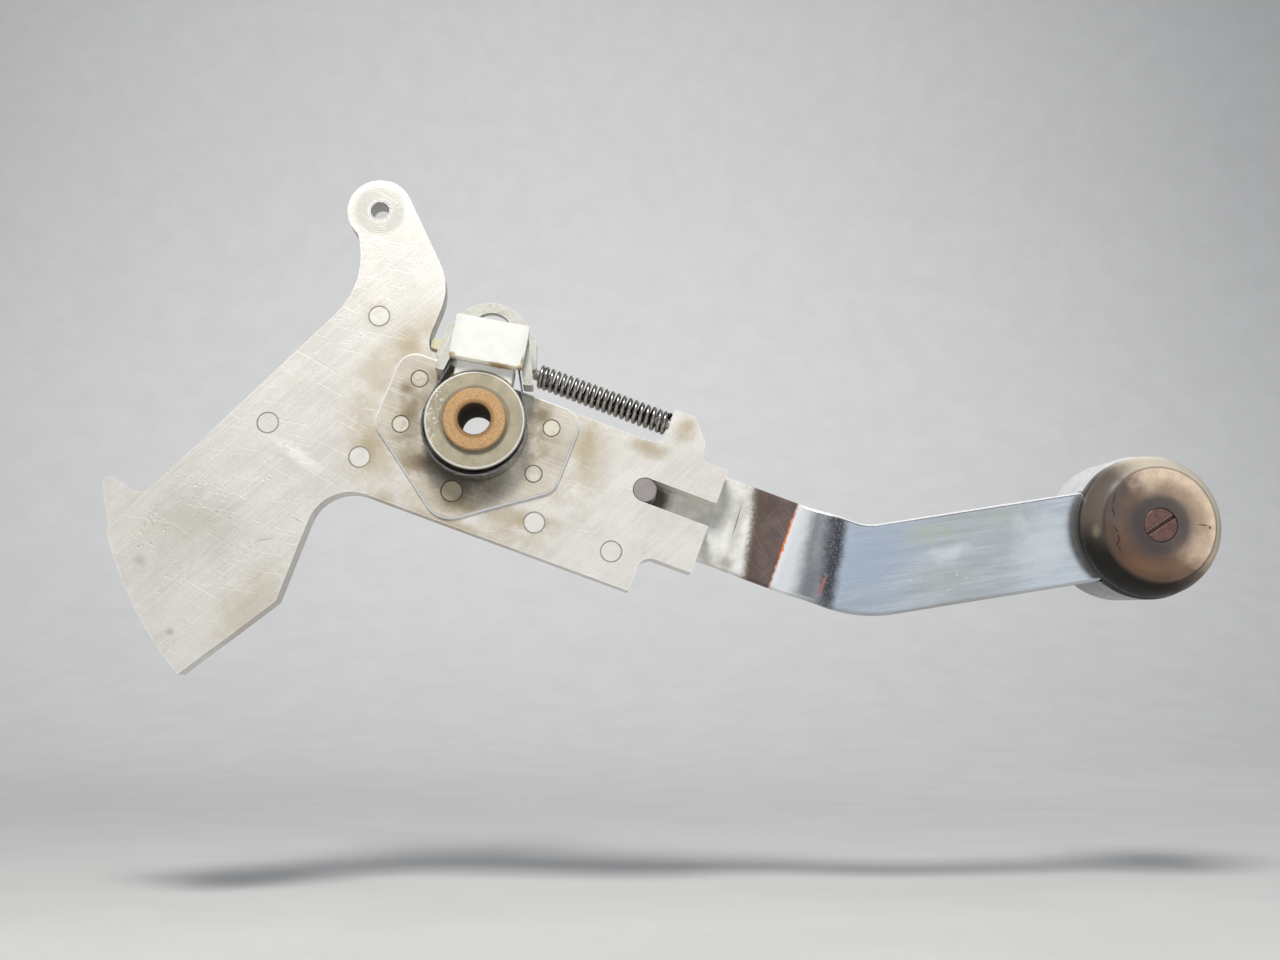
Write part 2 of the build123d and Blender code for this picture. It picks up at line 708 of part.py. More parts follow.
def main():
    os.makedirs("parts", exist_ok=True)
    write("front_plate", lever_plate(PLATE_FRONT, fin=False))
    write("rear_plate", lever_plate(0.0, fin=True))
    write("guide_rail", guide_rail())
    write("keeper_plate", keeper_plate())
    plates_only = [(s, RIVET_LINE_T) for s in PLATE_RIVET_S] + [NECK_RIVET]
    write(
        "plate_rivets",
        Compound(children=[rivet(s, t, RIVET_RADIUS, PLATE_FRONT, PLATE_BACK) for s, t in plates_only]),
    )
    write(
        "rail_rivets",
        Compound(
            children=[
                rivet(s, RIVET_LINE_T, RIVET_RADIUS, PLATE_FRONT, KEEPER_BACK) for s in RAIL_RIVET_S
            ]
        ),
    )
    write("hub_long_rivet", rivet(HUB_RIVET_S, RIVET_LINE_T, RIVET_RADIUS, HUB_FACE, KEEPER_BACK))
    write(
        "hub_rivets",
        Compound(
            children=[
                rivet(s, t, SMALL_RIVET_RADIUS, HUB_FACE, PLATE_BACK) for s, t in small_rivet_places()
            ]
        ),
    )
    write("hub_plate", hub_plate())
    write("hub_drum", hub_drum())
    write("pivot_bush", pivot_bush())
    write("cable_bush", cable_bush())
    write("spring_peg", spring_peg_body(0.0))
    write("return_post", return_post())
    write(
        "return_spring",
        coil(
            RETURN_WIRE,
            RETURN_MEAN_RADIUS,
            RETURN_TURNS,
            RETURN_POST_S + RETURN_POST_RADIUS + 0.1,
            ARM_TAIL_S - 0.1,
            PIN_T,
            RETURN_DEPTH,
        ),
    )
    write("spring_plug", spring_plug(ARM_TAIL_S - 3.5, PLUG_END_S, 0.0))
    write("arm_bar", arm_bar())
    write("guide_pin", guide_pin())
    write("knob_front", knob_front())
    write("knob_rear", knob_rear())
    write("knob_screw", knob_screw())
    write("knob_insert", knob_insert())
    write("yoke", yoke())
    write("brake_shoe", shoe())
    write("shoe_retainer", shoe_retainer())
    write("brake_strap", brake_strap())
    write("yoke_bumper", yoke_bumper())
    write(
        "yoke_spring",
        coil(SPRING_WIRE, SPRING_MEAN_RADIUS, SPRING_TURNS, SPRING_START_S, SPRING_END_S, SPRING_T, 0.0),
    )


if __name__ == "__main__":
    main()
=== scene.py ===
"""Power lever of an aircraft control quadrant: its finishes, its long spring and a studio."""

from math import cos, pi, radians, sin

import bmesh
import bpy
from bpy.props import FloatProperty, FloatVectorProperty, PointerProperty
from mathutils import Matrix, Vector


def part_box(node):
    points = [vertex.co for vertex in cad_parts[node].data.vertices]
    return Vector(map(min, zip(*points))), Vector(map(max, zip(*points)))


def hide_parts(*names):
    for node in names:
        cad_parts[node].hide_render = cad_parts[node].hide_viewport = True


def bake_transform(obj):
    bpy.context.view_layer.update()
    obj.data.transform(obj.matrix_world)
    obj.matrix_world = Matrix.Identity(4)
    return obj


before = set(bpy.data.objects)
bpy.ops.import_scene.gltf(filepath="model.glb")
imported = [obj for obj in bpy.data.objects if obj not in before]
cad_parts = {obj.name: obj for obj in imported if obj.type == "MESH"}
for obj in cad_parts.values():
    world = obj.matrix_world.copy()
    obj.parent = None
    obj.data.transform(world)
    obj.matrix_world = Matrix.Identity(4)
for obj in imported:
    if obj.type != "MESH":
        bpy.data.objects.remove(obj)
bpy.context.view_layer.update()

bl_info = {
    "name": "Power lever finish",
    "version": (1, 0, 0),
    "blender": (4, 5, 0),
    "location": "3D View > Sidebar > Lever",
    "description": "Finishes the power lever and sets up its studio",
    "category": "Object",
}

MM = 0.001
ARM_DROOP = radians(20.6)
YOKE_LEAN = radians(10.1)

# Directions and tints in a finish
RIGHT, BACK, UP = (1.0, 0.0, 0.0), (0.0, 1.0, 0.0), (0.0, 0.0, 1.0)
LEFT, FRONT, DOWN = (-1.0, 0.0, 0.0), (0.0, -1.0, 0.0), (0.0, 0.0, -1.0)
FLAT = (1.0, 0.0, 1.0)
WHITE = (1.0, 1.0, 1.0)

# Lever axes: s runs along the arm towards the knob, t across it, both in millimetres
ARM_DIRECTION = Vector((cos(ARM_DROOP), 0.0, -sin(ARM_DROOP)))
ACROSS_ARM = Vector((sin(ARM_DROOP), 0.0, cos(ARM_DROOP)))
TOWARDS_BACK = Vector(BACK)
EYE = (-44.9, 0.0, 45.0)
PIN = (45.8, 0.1)
PLATE_RIVETS = ((-49.4, -17.8), (-24.6, -17.8), (22.6, -17.8), (43.3, -17.8), (-34.1, 18.3))
HUB_RIVETS = ((18.0, 6.35), (18.0, -6.35), (-18.0, 6.35), (-18.0, -6.35))
HUB_LONG_RIVET = (0.4, -17.8)
RIVET_RING = 2.68
SMALL_RIVET_RING = 2.18
DRUM_FACE = 11.0
DRUM_SKIRT = 10.2
DRUM_RIM = 12.35
BORE_EDGE = 4.2

# Where the arm's zones start along it
COPPER_START = 75.3
TIDE_START = 78.0
PLATED_START = 84.75
# End of the painted bright reflection on the plating
BLUE_START = 90.0
# The painted dark reflection at the bend lies between these two
REFLECTION_START = 94.2
REFLECTION_END = 99.3

# Knob, seen from its own centre
KNOB_CENTRE = (173.5, 0.0, -24.89)
KNOB_TILT = radians(4.8)
KNOB_SEAM = -2.7
KNOB_FACE_EDGE = 14.75

# Long spring
SPRING_ACROSS = 19.0
SPRING_START = 10.0
SPRING_WIRE = 1.15
SPRING_RADIUS = 2.6
SPRING_RUNS = ((1.25, 1.18), (19.5, 1.651), (1.25, 1.18))
COIL_STEPS = 28


def lever_point(s, t, depth=0.0):
    """Place in metres of a point given along and across the arm and in depth."""
    return (ARM_DIRECTION * s + ACROSS_ARM * t + TOWARDS_BACK * depth) * MM


def dimmed(colour, share):
    """A colour made darker or lighter."""
    return tuple(min(1.0, part * share) for part in colour)


# Shader building


class Nodes:
    """A node tree being built. Its patterns use its vector, unless another is given."""

    def __init__(self, tree):
        self.tree = tree
        self.vector = None

    def put(self, socket, value):
        """Links or sets an input."""
        if isinstance(value, bpy.types.NodeSocket):
            self.tree.links.new(value, socket)
        elif socket.type == "RGBA":
            socket.default_value = (*value, 1.0)
        else:
            socket.default_value = value

    def add(self, kind, inputs=None, **attributes):
        """New node with its attributes and its inputs set or linked."""
        node = self.tree.nodes.new("ShaderNode" + kind)
        for name, value in attributes.items():
            setattr(node, name, value)
        for name, value in (inputs or {}).items():
            self.put(node.inputs[name], value)
        return node

    def maths(self, operation, *values):
        """Values joined by one operation from the first to the last, or one value changed by it."""
        total = values[0]
        for value in values[1:] or (0.0,):
            total = self.add("Math", {0: total, 1: value}, operation=operation).outputs[0]
        return total

    def total(self, *values):
        return self.maths("ADD", *values)

    def less(self, first, second):
        return self.maths("SUBTRACT", first, second)

    def product(self, *values):
        return self.maths("MULTIPLY", *values)

    def greatest(self, *values):
        return self.maths("MAXIMUM", *values)

    def vector_maths(self, operation, first, second=(0.0, 0.0, 0.0)):
        """Output of a Vector Math node: a value for lengths and dots, else a vector."""
        node = self.add("VectorMath", {0: first, 1: second}, operation=operation)
        return node.outputs["Value" if operation in {"LENGTH", "DOT_PRODUCT"} else "Vector"]

    def scaled(self, vector, scale):
        """A vector made longer."""
        return self.add("VectorMath", {0: vector, "Scale": scale}, operation="SCALE").outputs[0]

    def mix(self, factor, first, second):
        """A colour between two others."""
        node = self.add("Mix", data_type="RGBA")
        for index, value in ((0, factor), (6, first), (7, second)):
            self.put(node.inputs[index], value)
        return node.outputs[2]

    def layer(self, colour, mask, share, tint):
        """A colour with a tint laid over it by a mask."""
        return self.mix(self.product(mask, share), colour, tint)

    def spread(self, value, low, high, to_low=0.0, to_high=1.0):
        """A value mapped smoothly from one range to another."""
        inputs = {"Value": value, "From Min": low, "From Max": high, "To Min": to_low, "To Max": to_high}
        return self.add("MapRange", inputs, interpolation_type="SMOOTHSTEP").outputs[0]

    def noise(self, scale, detail=4.0, roughness=0.55, distortion=0.0, vector=None):
        """Cloudy noise, in units of the vector."""
        inputs = {"Scale": scale, "Detail": detail, "Roughness": roughness, "Distortion": distortion}
        inputs["Vector"] = vector or self.vector
        return self.add("TexNoise", inputs).outputs["Fac"]

    def grooves(self, distance, rings):
        """Fine lathe rings, a little uneven."""
        wobble = self.product(self.noise(0.5), 3.0)
        return self.maths("SINE", self.total(self.product(distance, rings), wobble))

    def tooth(self, scale, detail=5.0):
        """Noise centred on nought, for ragged borders."""
        return self.less(self.noise(scale, detail, 0.65), 0.5)

    def reach(self, direction, vector=None):
        """How far the vector goes along a direction."""
        return self.vector_maths("DOT_PRODUCT", vector or self.vector, direction)

    def along(self, direction, low, high, vector=None):
        """Soft step of the vector's reach along a direction."""
        return self.spread(self.reach(direction, vector), low, high)

    def effect(self, name, **inputs):
        """A shared effect placed with its own values."""
        given = {"Vector": self.vector, **inputs}
        return self.add("Group", given, node_tree=bpy.data.node_groups[name]).outputs

    def patch(self, place, reach, ragged, turn=0.0, core=0.3, share=0.8):
        """Mask of one oval patch at a place along and across the arm."""
        given = {"Centre": (place[0], 0, place[1]), "Reach": (reach[0], 1, reach[1]), "Turn": radians(turn)}
        return self.effect("patch", Core=core, Tooth=ragged, Ragged=share, **given)["Mask"]

    def patches(self, rows, ragged, core, share):
        """Several oval patches as one mask; a row is a place, a reach and at times a turn."""
        masks = []
        for place, reach, *turn in rows:
            masks.append(self.patch(place, reach, ragged, *(turn or (0.0,)), core, share))
        return self.greatest(*masks)

    def rivet_rings(self, places, radius, width):
        """Dark gap lines round several rivets, as one mask."""
        rings = [self.effect("ring mark", Centre=(s, 0, t), Radius=radius, Width=width) for s, t in places]
        return self.greatest(*(ring["Mask"] for ring in rings)) if len(rings) > 1 else rings[0]["Mask"]


class Effect(Nodes):
    """A node group that several finishes share."""

    def __init__(self, name, inputs, outputs=("Mask",)):
        super().__init__(bpy.data.node_groups.new(name, "ShaderNodeTree"))
        for socket, default in {"Vector": (0.0, 0.0, 0.0), **inputs}.items():
            kind = "NodeSocketVector" if isinstance(default, tuple) else "NodeSocketFloat"
            made = self.tree.interface.new_socket(socket, in_out="INPUT", socket_type=kind)
            made.default_value = default
        for socket in outputs:
            self.tree.interface.new_socket(socket, in_out="OUTPUT", socket_type="NodeSocketFloat")
        self.given = self.tree.nodes.new("NodeGroupInput").outputs
        self.result = self.tree.nodes.new("NodeGroupOutput").inputs
        self.vector = self.given["Vector"]

    def give(self, **outputs):
        """Links the effect's outputs."""
        for name, value in outputs.items():
            self.put(self.result[name], value)


class Finish(Nodes):
    """A material whose colour is painted layer by layer."""

    def __init__(self, name, turn=0.0, tilt=0.0, centre=(0.0, 0.0, 0.0)):
        self.material = bpy.data.materials.new(name)
        self.material.use_nodes = True
        super().__init__(self.material.node_tree)
        self.tree.nodes.clear()
        self.shader = self.add("BsdfPrincipled")
        self.add("OutputMaterial", {"Surface": self.shader.outputs[0]})
        self.vector = self.place(turn, tilt, centre)
        self.colour = None

    def place(self, turn=0.0, tilt=0.0, centre=(0.0, 0.0, 0.0)):
        """Object coordinates in millimetres from a centre, turned about the pivot and tilted."""
        coordinates = self.add("TexCoord").outputs["Object"]
        moved = self.vector_maths("SUBTRACT", self.scaled(coordinates, 1 / MM), centre)
        return self.add("Mapping", {"Vector": moved, "Rotation": (tilt, turn, 0.0)}).outputs[0]

    def paint(self, mask, share, tint):
        """Lays a tint over the colour by a mask."""
        self.colour = self.layer(self.colour, mask, share, tint)

    def wear(self, radius, breakup, share, tint):
        """Paints the worn outer edges."""
        self.paint(self.effect("edge wear", Radius=radius * MM, Breakup=breakup)["Mask"], share, tint)

    def stain(self, size, cover, share, tint):
        """Paints soft blotches."""
        self.paint(self.effect("stain", Size=size, Cover=cover)["Mask"], share, tint)

    def done(self, roughness, metallic=0.0, height=None, strength=0.2, distance=0.0001, **settings):
        """The material, once its values and its bump are joined to the shader."""
        values = {"Base Color": self.colour, "Roughness": roughness, "Metallic": metallic}
        values |= {name.replace("_", " "): value for name, value in settings.items()}
        if height is not None:
            bump = self.add("Bump", {"Height": height, "Strength": strength, "Distance": distance})
            values["Normal"] = bump.outputs[0]
        for name, value in values.items():
            self.put(self.shader.inputs[name], value)
        return self.material


def finish_node(name, material):
    """Gives a carried-over piece its material."""
    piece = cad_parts[name]
    for slot in piece.material_slots:
        slot.material = material
    if not piece.material_slots:
        piece.data.materials.append(material)


# Shared effects


def edge_wear_group():
    """Mask of worn outer edges, broken up by noise."""
    net = Effect("edge wear", {"Radius": 0.0004, "Breakup": 0.5})
    bevel = net.add("Bevel", {"Radius": net.given["Radius"]}, samples=6)
    alike = net.reach(net.add("NewGeometry").outputs["Normal"], bevel.outputs[0])
    edge = net.spread(net.less(1.0, alike), 0.01, 0.12)
    worn = net.total(net.noise(0.9, 6.0), net.less(0.9, net.given["Breakup"]))
    net.give(Mask=net.product(edge, net.spread(worn, 0.7, 1.0)))


def brushing_group():
    """Fine streaks along one direction with sparse stray scratches."""
    net = Effect("brushing", {"Scale": 1.0, "Scratches": 0.5}, ("Streaks", "Scratches"))
    scaled = net.scaled(net.vector, net.given["Scale"])
    fine = net.noise(1.0, 3.0, vector=net.vector_maths("MULTIPLY", scaled, (0.12, 1.0, 9.0)))
    coarse = net.noise(1.0, 2.0, vector=net.vector_maths("MULTIPLY", scaled, (0.05, 1.0, 2.2)))
    lines = []
    for turn, density in ((0.5, 1.0), (-0.9, 0.8), (1.9, 0.65)):
        turned = net.add("Mapping", {"Vector": scaled, "Rotation": (0.0, turn, 0.0)}).outputs[0]
        bent = net.vector_maths("MULTIPLY", turned, (0.07 * density, 1.0, 2.6 * density))
        lines.append(net.spread(net.noise(1.0, 1.0, 0.4, 0.25, bent), 0.66, 0.72))
    scratches = net.product(net.greatest(*lines), net.given["Scratches"])
    net.give(Streaks=net.product(net.total(fine, coarse), 0.5), Scratches=scratches)


def stain_group():
    """Soft blotches with ragged borders."""
    net = Effect("stain", {"Size": 10.0, "Cover": 0.5})
    cloud = net.noise(net.maths("DIVIDE", 1.0, net.given["Size"]), 9.0, 0.68, 0.1)
    low = net.less(0.72, net.product(net.given["Cover"], 0.45))
    net.give(Mask=net.spread(net.less(cloud, low), -0.04, 0.24))


def ring_group():
    """Soft ring round a point, seen along the pivot's direction."""
    inputs = {"Centre": (0.0, 0.0, 0.0), "Radius": 5.0, "Width": 1.0}
    net = Effect("ring mark", inputs, ("Mask", "Distance"))
    away = net.vector_maths("SUBTRACT", net.vector, net.given["Centre"])
    distance = net.vector_maths("LENGTH", net.vector_maths("MULTIPLY", away, FLAT))
    off = net.maths("ABSOLUTE", net.less(distance, net.given["Radius"]))
    mask = net.spread(net.maths("DIVIDE", off, net.given["Width"]), 1.0, 0.3)
    net.give(Mask=mask, Distance=distance)


def band_group():
    """Step across one direction, made ragged by a tooth."""
    inputs = {"Direction": RIGHT, "Start": 0.0, "Softness": 0.5, "Tooth": 0.0, "Ragged": 0.5}
    net = Effect("band", inputs)
    ragged = net.product(net.given["Tooth"], net.given["Ragged"])
    moved = net.total(net.reach(net.given["Direction"]), ragged)
    share = net.maths("DIVIDE", net.less(moved, net.given["Start"]), net.given["Softness"])
    net.give(Mask=net.spread(share, -0.5, 0.5))


def patch_group():
    """Oval patch on a face seen along the pivot's direction, made ragged by a tooth."""
    inputs = {"Centre": (0.0, 0.0, 0.0), "Reach": (5.0, 1.0, 5.0), "Turn": 0.0, "Core": 0.3}
    net = Effect("patch", {**inputs, "Tooth": 0.0, "Ragged": 0.8})
    away = net.vector_maths("SUBTRACT", net.vector, net.given["Centre"])
    turned = net.add("VectorRotate", {"Vector": away, "Angle": net.given["Turn"]}, rotation_type="Y_AXIS")
    flat = net.vector_maths("MULTIPLY", turned.outputs[0], FLAT)
    share = net.vector_maths("LENGTH", net.vector_maths("DIVIDE", flat, net.given["Reach"]))
    moved = net.total(share, net.product(net.given["Tooth"], net.given["Ragged"]))
    net.give(Mask=net.spread(moved, 1.0, net.given["Core"]))


def pore_group():
    """Small dark pits scattered thinly."""
    net = Effect("pores", {"Spacing": 1.0, "Size": 0.2, "Share": 0.5})
    scale = net.maths("DIVIDE", 1.0, net.given["Spacing"])
    cells = net.add("TexVoronoi", {"Vector": net.vector, "Scale": scale})
    chance = net.add("SeparateColor", {"Color": cells.outputs["Color"]})
    reach = net.total(net.product(chance.outputs[0], net.given["Size"]), 0.01)
    dot = net.spread(net.maths("DIVIDE", cells.outputs["Distance"], reach), 1.0, 0.5)
    net.give(Mask=net.product(dot, net.maths("LESS_THAN", chance.outputs[1], net.given["Share"])))


# Finishes


def plate_finish(colours):
    """Worn matte metal of the lever plates, with painted shade over the lower lobe."""
    coat = Finish("plate metal", -ARM_DROOP)
    slanted = coat.place(-ARM_DROOP + radians(62))
    brushed = coat.effect("brushing", Vector=slanted, Scale=1.0, Scratches=0.8)
    fine = coat.effect("brushing", Scale=1.6, Scratches=0.5)
    broad = coat.tooth(0.16, 8.0)
    small = coat.tooth(0.7)
    grit = coat.noise(1.3, 8.0, 0.75)
    cloud = coat.noise(0.06, 9.0, 0.68)
    coat.colour = coat.mix(coat.spread(cloud, 0.34, 0.66), colours.plate, dimmed(colours.plate, 0.84))
    coat.paint(coat.spread(grit, 0.42, 0.72), 0.30, dimmed(colours.plate, 0.70))
    coat.paint(coat.spread(brushed["Streaks"], 0.40, 0.66), 0.30, (0.96, 0.95, 0.92))
    beige = coat.patch((-36.0, -62.0), (17.0, 9.0), broad, 70.0, 0.0, 1.6)
    coat.paint(beige, 0.55, (0.58, 0.49, 0.34))
    # Painted shade over the lower lobe, greenish
    shade = coat.patch((-57.0, -48.0), (22.0, 12.0), broad, 10.0, 0.0, 1.6)
    coat.paint(shade, 0.40, (0.50, 0.485, 0.40))
    smudges = coat.greatest(
        coat.patch((-64.6, -60.9), (2.4, 2.0), small, 0.0, 0.0),
        coat.patch((-50.6, -74.5), (1.6, 1.3), small, 0.0, 0.0),
    )
    coat.paint(smudges, 0.45, (0.26, 0.25, 0.21))
    oil = coat.effect("ring mark", Centre=(0, 0, -2), Radius=25.0, Width=14.0)
    blotch = coat.effect("stain", Size=11.0, Cover=0.75)
    coat.paint(coat.product(oil["Mask"], blotch["Mask"]), 0.55, (0.48, 0.385, 0.24))
    stains = coat.patches((
        ((-23.5, -15.0), (5.5, 10.0), 15.0),
        ((-14.5, -27.0), (6.0, 6.0), 0.0),
        ((-24.0, 14.0), (5.5, 5.5), 0.0),
        ((28.0, 6.0), (4.0, 9.0), 0.0),
        ((20.0, -18.5), (12.0, 4.0), 12.0),
        ((1.0, -26.0), (18.0, 2.5), 0.0),
        ((43.0, 10.5), (9.0, 3.5), 0.0),
        ((50.5, 19.0), (4.0, 6.0), 0.0),
        ((-34.1, 18.3), (5.0, 5.0), 0.0),
    ), broad, 0.0, 1.6)
    coat.paint(stains, 0.72, (0.44, 0.345, 0.20))
    coat.stain(20.0, 0.42, 0.30, (0.60, 0.53, 0.41))
    wiped = coat.patch((-39.5, -22.8), (11.5, 2.3), small, -16.6, 0.1, 1.6)
    coat.paint(wiped, 0.60, (0.98, 0.97, 0.93))
    flat = coat.vector_maths("MULTIPLY", coat.vector, FLAT)
    pits = coat.effect("pores", Vector=flat, Spacing=0.85, Size=0.46, Share=0.6)
    clusters = coat.patches((
        ((-65.5, -53.0), (5.0, 7.0)),
        ((-61.0, -40.5), (12.0, 5.0)),
        ((-56.0, -64.0), (4.0, 12.0)),
        ((-45.0, -29.5), (5.0, 4.0)),
        ((-49.5, -45.0), (8.0, 4.0)),
        ((-49.0, -74.0), (3.5, 5.0)),
    ), broad, 0.3, 1.9)
    pit = coat.product(pits["Mask"], clusters)
    coat.paint(pit, 0.35, (0.30, 0.275, 0.22))
    eye = coat.effect("ring mark", Centre=EYE, Radius=4.6, Width=3.0)
    coat.paint(eye["Mask"], 0.55, (0.40, 0.39, 0.355))
    scratch = coat.greatest(brushed["Scratches"], fine["Scratches"])
    coat.paint(scratch, 0.14, (1.0, 0.99, 0.97))
    scores = coat.greatest(
        coat.patch((-38.2, -45.4), (2.6, 0.16), small, 29.0, 0.3, 0.6),
        coat.patch((-33.0, -38.0), (2.2, 0.14), small, -10.7, 0.3, 0.6),
    )
    coat.paint(scores, 0.6, (0.24, 0.22, 0.18))
    # Worn edges painted near-white: partly bare worn metal, partly painted highlight
    coat.wear(0.4, 0.3, 0.75, (1.0, 0.99, 0.97))
    rings = coat.rivet_rings(PLATE_RIVETS, RIVET_RING, 0.2)
    gaps = coat.product(rings, coat.spread(grit, 0.3, 0.5, 0.35, 1.0))
    coat.paint(gaps, 0.85, (0.15, 0.125, 0.09))
    rough = coat.spread(coat.total(brushed["Streaks"], coat.product(cloud, 0.5)), 0.4, 1.0, 0.34, 0.56)
    lathe = coat.maths("SINE", coat.product(eye["Distance"], 14.0))
    height = coat.total(brushed["Streaks"], coat.product(lathe, eye["Mask"], 0.2))
    height = coat.less(height, coat.product(pit, 3.0))
    height = coat.less(height, coat.product(scratch, 0.5))
    height = coat.total(height, coat.product(grit, 0.5))
    return coat.done(rough, 0.3, height, 0.5, 0.00008)


def plain_metal(
    name, base, dark, roughness, turn=0.0, metallic=0.85, scale=1.5, stain=0.4, edge=None, speck=0.0
):
    """Metal with brushing, stains and worn edges."""
    coat = Finish(name, turn)
    brushed = coat.effect("brushing", Scale=scale, Scratches=0.6)
    blotch = coat.effect("stain", Size=6.0, Cover=stain)
    coat.colour = coat.layer(base, blotch["Mask"], 0.75, dark)
    coat.paint(coat.spread(brushed["Streaks"], 0.4, 0.65), 0.35, dimmed(base, 1.35))
    if speck:
        specks = coat.spread(coat.noise(1.5, 6.0, 0.8), 0.56, 0.66)
        coat.paint(specks, speck, dimmed(dark, 0.6))
    coat.wear(0.35, 0.3, 0.75, edge or dimmed(base, 1.6))
    rough = coat.spread(brushed["Streaks"], 0.3, 0.7, roughness - 0.08, roughness + 0.08)
    height = coat.less(brushed["Streaks"], coat.product(brushed["Scratches"], 0.6))
    return coat.done(rough, metallic, height, 0.35, 0.00005)


def hub_plate_finish(colours):
    """Satin steel of the hub plate, oily round the drum, with the drum's painted shadow, a painted
    highlight on its rounded edge and painted shade at its foot.
    """
    coat = Finish("hub plate steel", -ARM_DROOP)
    brushed = coat.effect("brushing", Scale=1.1, Scratches=0.7)
    broad = coat.tooth(0.16)
    cloud = coat.spread(coat.noise(0.12, 5.0), 0.35, 0.7)
    coat.colour = coat.mix(cloud, colours.hub, dimmed(colours.hub, 0.8))
    coat.paint(coat.spread(brushed["Streaks"], 0.42, 0.66), 0.4, dimmed(colours.hub, 1.35))
    blotch = coat.effect("stain", Size=7.0, Cover=0.62)
    near = coat.effect("ring mark", Centre=(0, 0, -1), Radius=12.0, Width=12.0)
    coat.paint(coat.product(blotch["Mask"], near["Mask"]), 0.75, (0.33, 0.25, 0.14))
    brown = coat.patches((
        ((-17.0, -3.0), (4.5, 6.0)),
        ((-11.0, -14.0), (7.0, 5.0)),
        ((15.0, 9.0), (3.0, 4.0)),
        ((3.0, -20.0), (10.0, 4.0)),
        ((-20.0, 3.0), (3.0, 3.0)),
    ), broad, 0.0, 1.3)
    coat.paint(brown, 0.85, (0.29, 0.215, 0.115))
    # Painted shadow of the drum, dark brown, on the lower part of the hub plate
    drum_shadow = coat.patch((1.5, -13.0), (15.0, 7.5), broad, 8.0, 0.2, 0.9)
    coat.paint(drum_shadow, 0.9, (0.105, 0.088, 0.062))
    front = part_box("hub_plate")[0].y / MM
    # Painted highlight: the rounded edge and sides painted blue-white and made less metallic
    rim = coat.along(BACK, front + 0.04, front + 0.2)
    coat.paint(rim, 0.92, (0.93, 0.95, 1.0))
    # Painted shade along the foot of the edge, where it meets the plate
    foot_shade = coat.along(BACK, front + 1.3, front + 1.7)
    coat.paint(foot_shade, 0.85, (0.12, 0.10, 0.075))
    rings = coat.greatest(
        coat.rivet_rings(HUB_RIVETS, SMALL_RIVET_RING, 0.2),
        coat.rivet_rings((HUB_LONG_RIVET,), RIVET_RING, 0.26),
    )
    coat.paint(rings, 0.92, (0.07, 0.06, 0.045))
    rough = coat.spread(brushed["Streaks"], 0.3, 0.7, 0.30, 0.42)
    height = coat.less(brushed["Streaks"], coat.product(brushed["Scratches"], 0.6))
    metallic = coat.spread(rim, 0.0, 1.0, 0.45, 0.0)
    return coat.done(rough, metallic, height, 0.3, 0.00005)


def turned_metal(name, base, dark, roughness, centre, rings, metallic):
    """Lathe-turned metal with fine rings round its axis."""
    coat = Finish(name)
    ring = coat.effect("ring mark", Centre=centre, Radius=0.0, Width=5.0)
    groove = coat.grooves(ring["Distance"], rings)
    blotch = coat.effect("stain", Size=4.0, Cover=0.45)
    coat.colour = coat.layer(base, blotch["Mask"], 0.55, dark)
    coat.paint(coat.spread(groove, -1.0, 1.0), 0.2, dimmed(base, 1.5))
    coat.wear(0.3, 0.2, 0.7, dimmed(base, 1.8))
    rough = coat.spread(groove, -1.0, 1.0, roughness - 0.05, roughness + 0.05)
    return coat.done(rough, metallic, groove, 0.3, 0.00003)


def drum_finish(colours):
    """Grey-green steel of the drum, with pale flakes on one side, a painted highlight on its rim, a painted
    shadow round the bush and painted shade on its side wall.
    """
    coat = Finish("drum steel")
    ring = coat.effect("ring mark", Radius=DRUM_RIM, Width=0.5)
    groove = coat.grooves(ring["Distance"], 11.0)
    cloud = coat.spread(coat.noise(0.3, 6.0), 0.35, 0.7)
    coat.colour = coat.mix(cloud, colours.drum, dimmed(colours.drum, 0.75))
    coat.paint(coat.spread(groove, -1.0, 1.0), 0.15, dimmed(colours.drum, 1.5))
    flakes = coat.spread(coat.noise(1.1, 6.0, 0.75), 0.54, 0.60)
    side = coat.product(coat.along((-0.93, 0.0, 0.2), 6.5, 10.0), coat.along(UP, -11.0, -4.0))
    face = coat.along(FRONT, DRUM_FACE, DRUM_FACE + 0.15)
    coat.paint(coat.product(flakes, side, face), 0.8, (0.95, 0.95, 0.92))
    coat.stain(2.0, 0.3, 0.5, (0.26, 0.25, 0.21))
    # Painted shadow in a ring round the bush's flange
    bush_shadow = coat.effect("ring mark", Radius=8.3, Width=0.9)
    coat.paint(bush_shadow["Mask"], 0.5, (0.14, 0.12, 0.09))
    # Painted highlight: a thin white line round the face's rim
    coat.paint(coat.product(ring["Mask"], face), 0.75, WHITE)
    # Painted shade, near black, on the drum's side wall behind its face
    skirt = coat.along(BACK, -DRUM_SKIRT - 0.4, -DRUM_SKIRT)
    coat.paint(skirt, 0.85, (0.045, 0.042, 0.038))
    rough = coat.spread(groove, -1.0, 1.0, 0.34, 0.46)
    return coat.done(rough, 0.45, groove, 0.2, 0.00003)


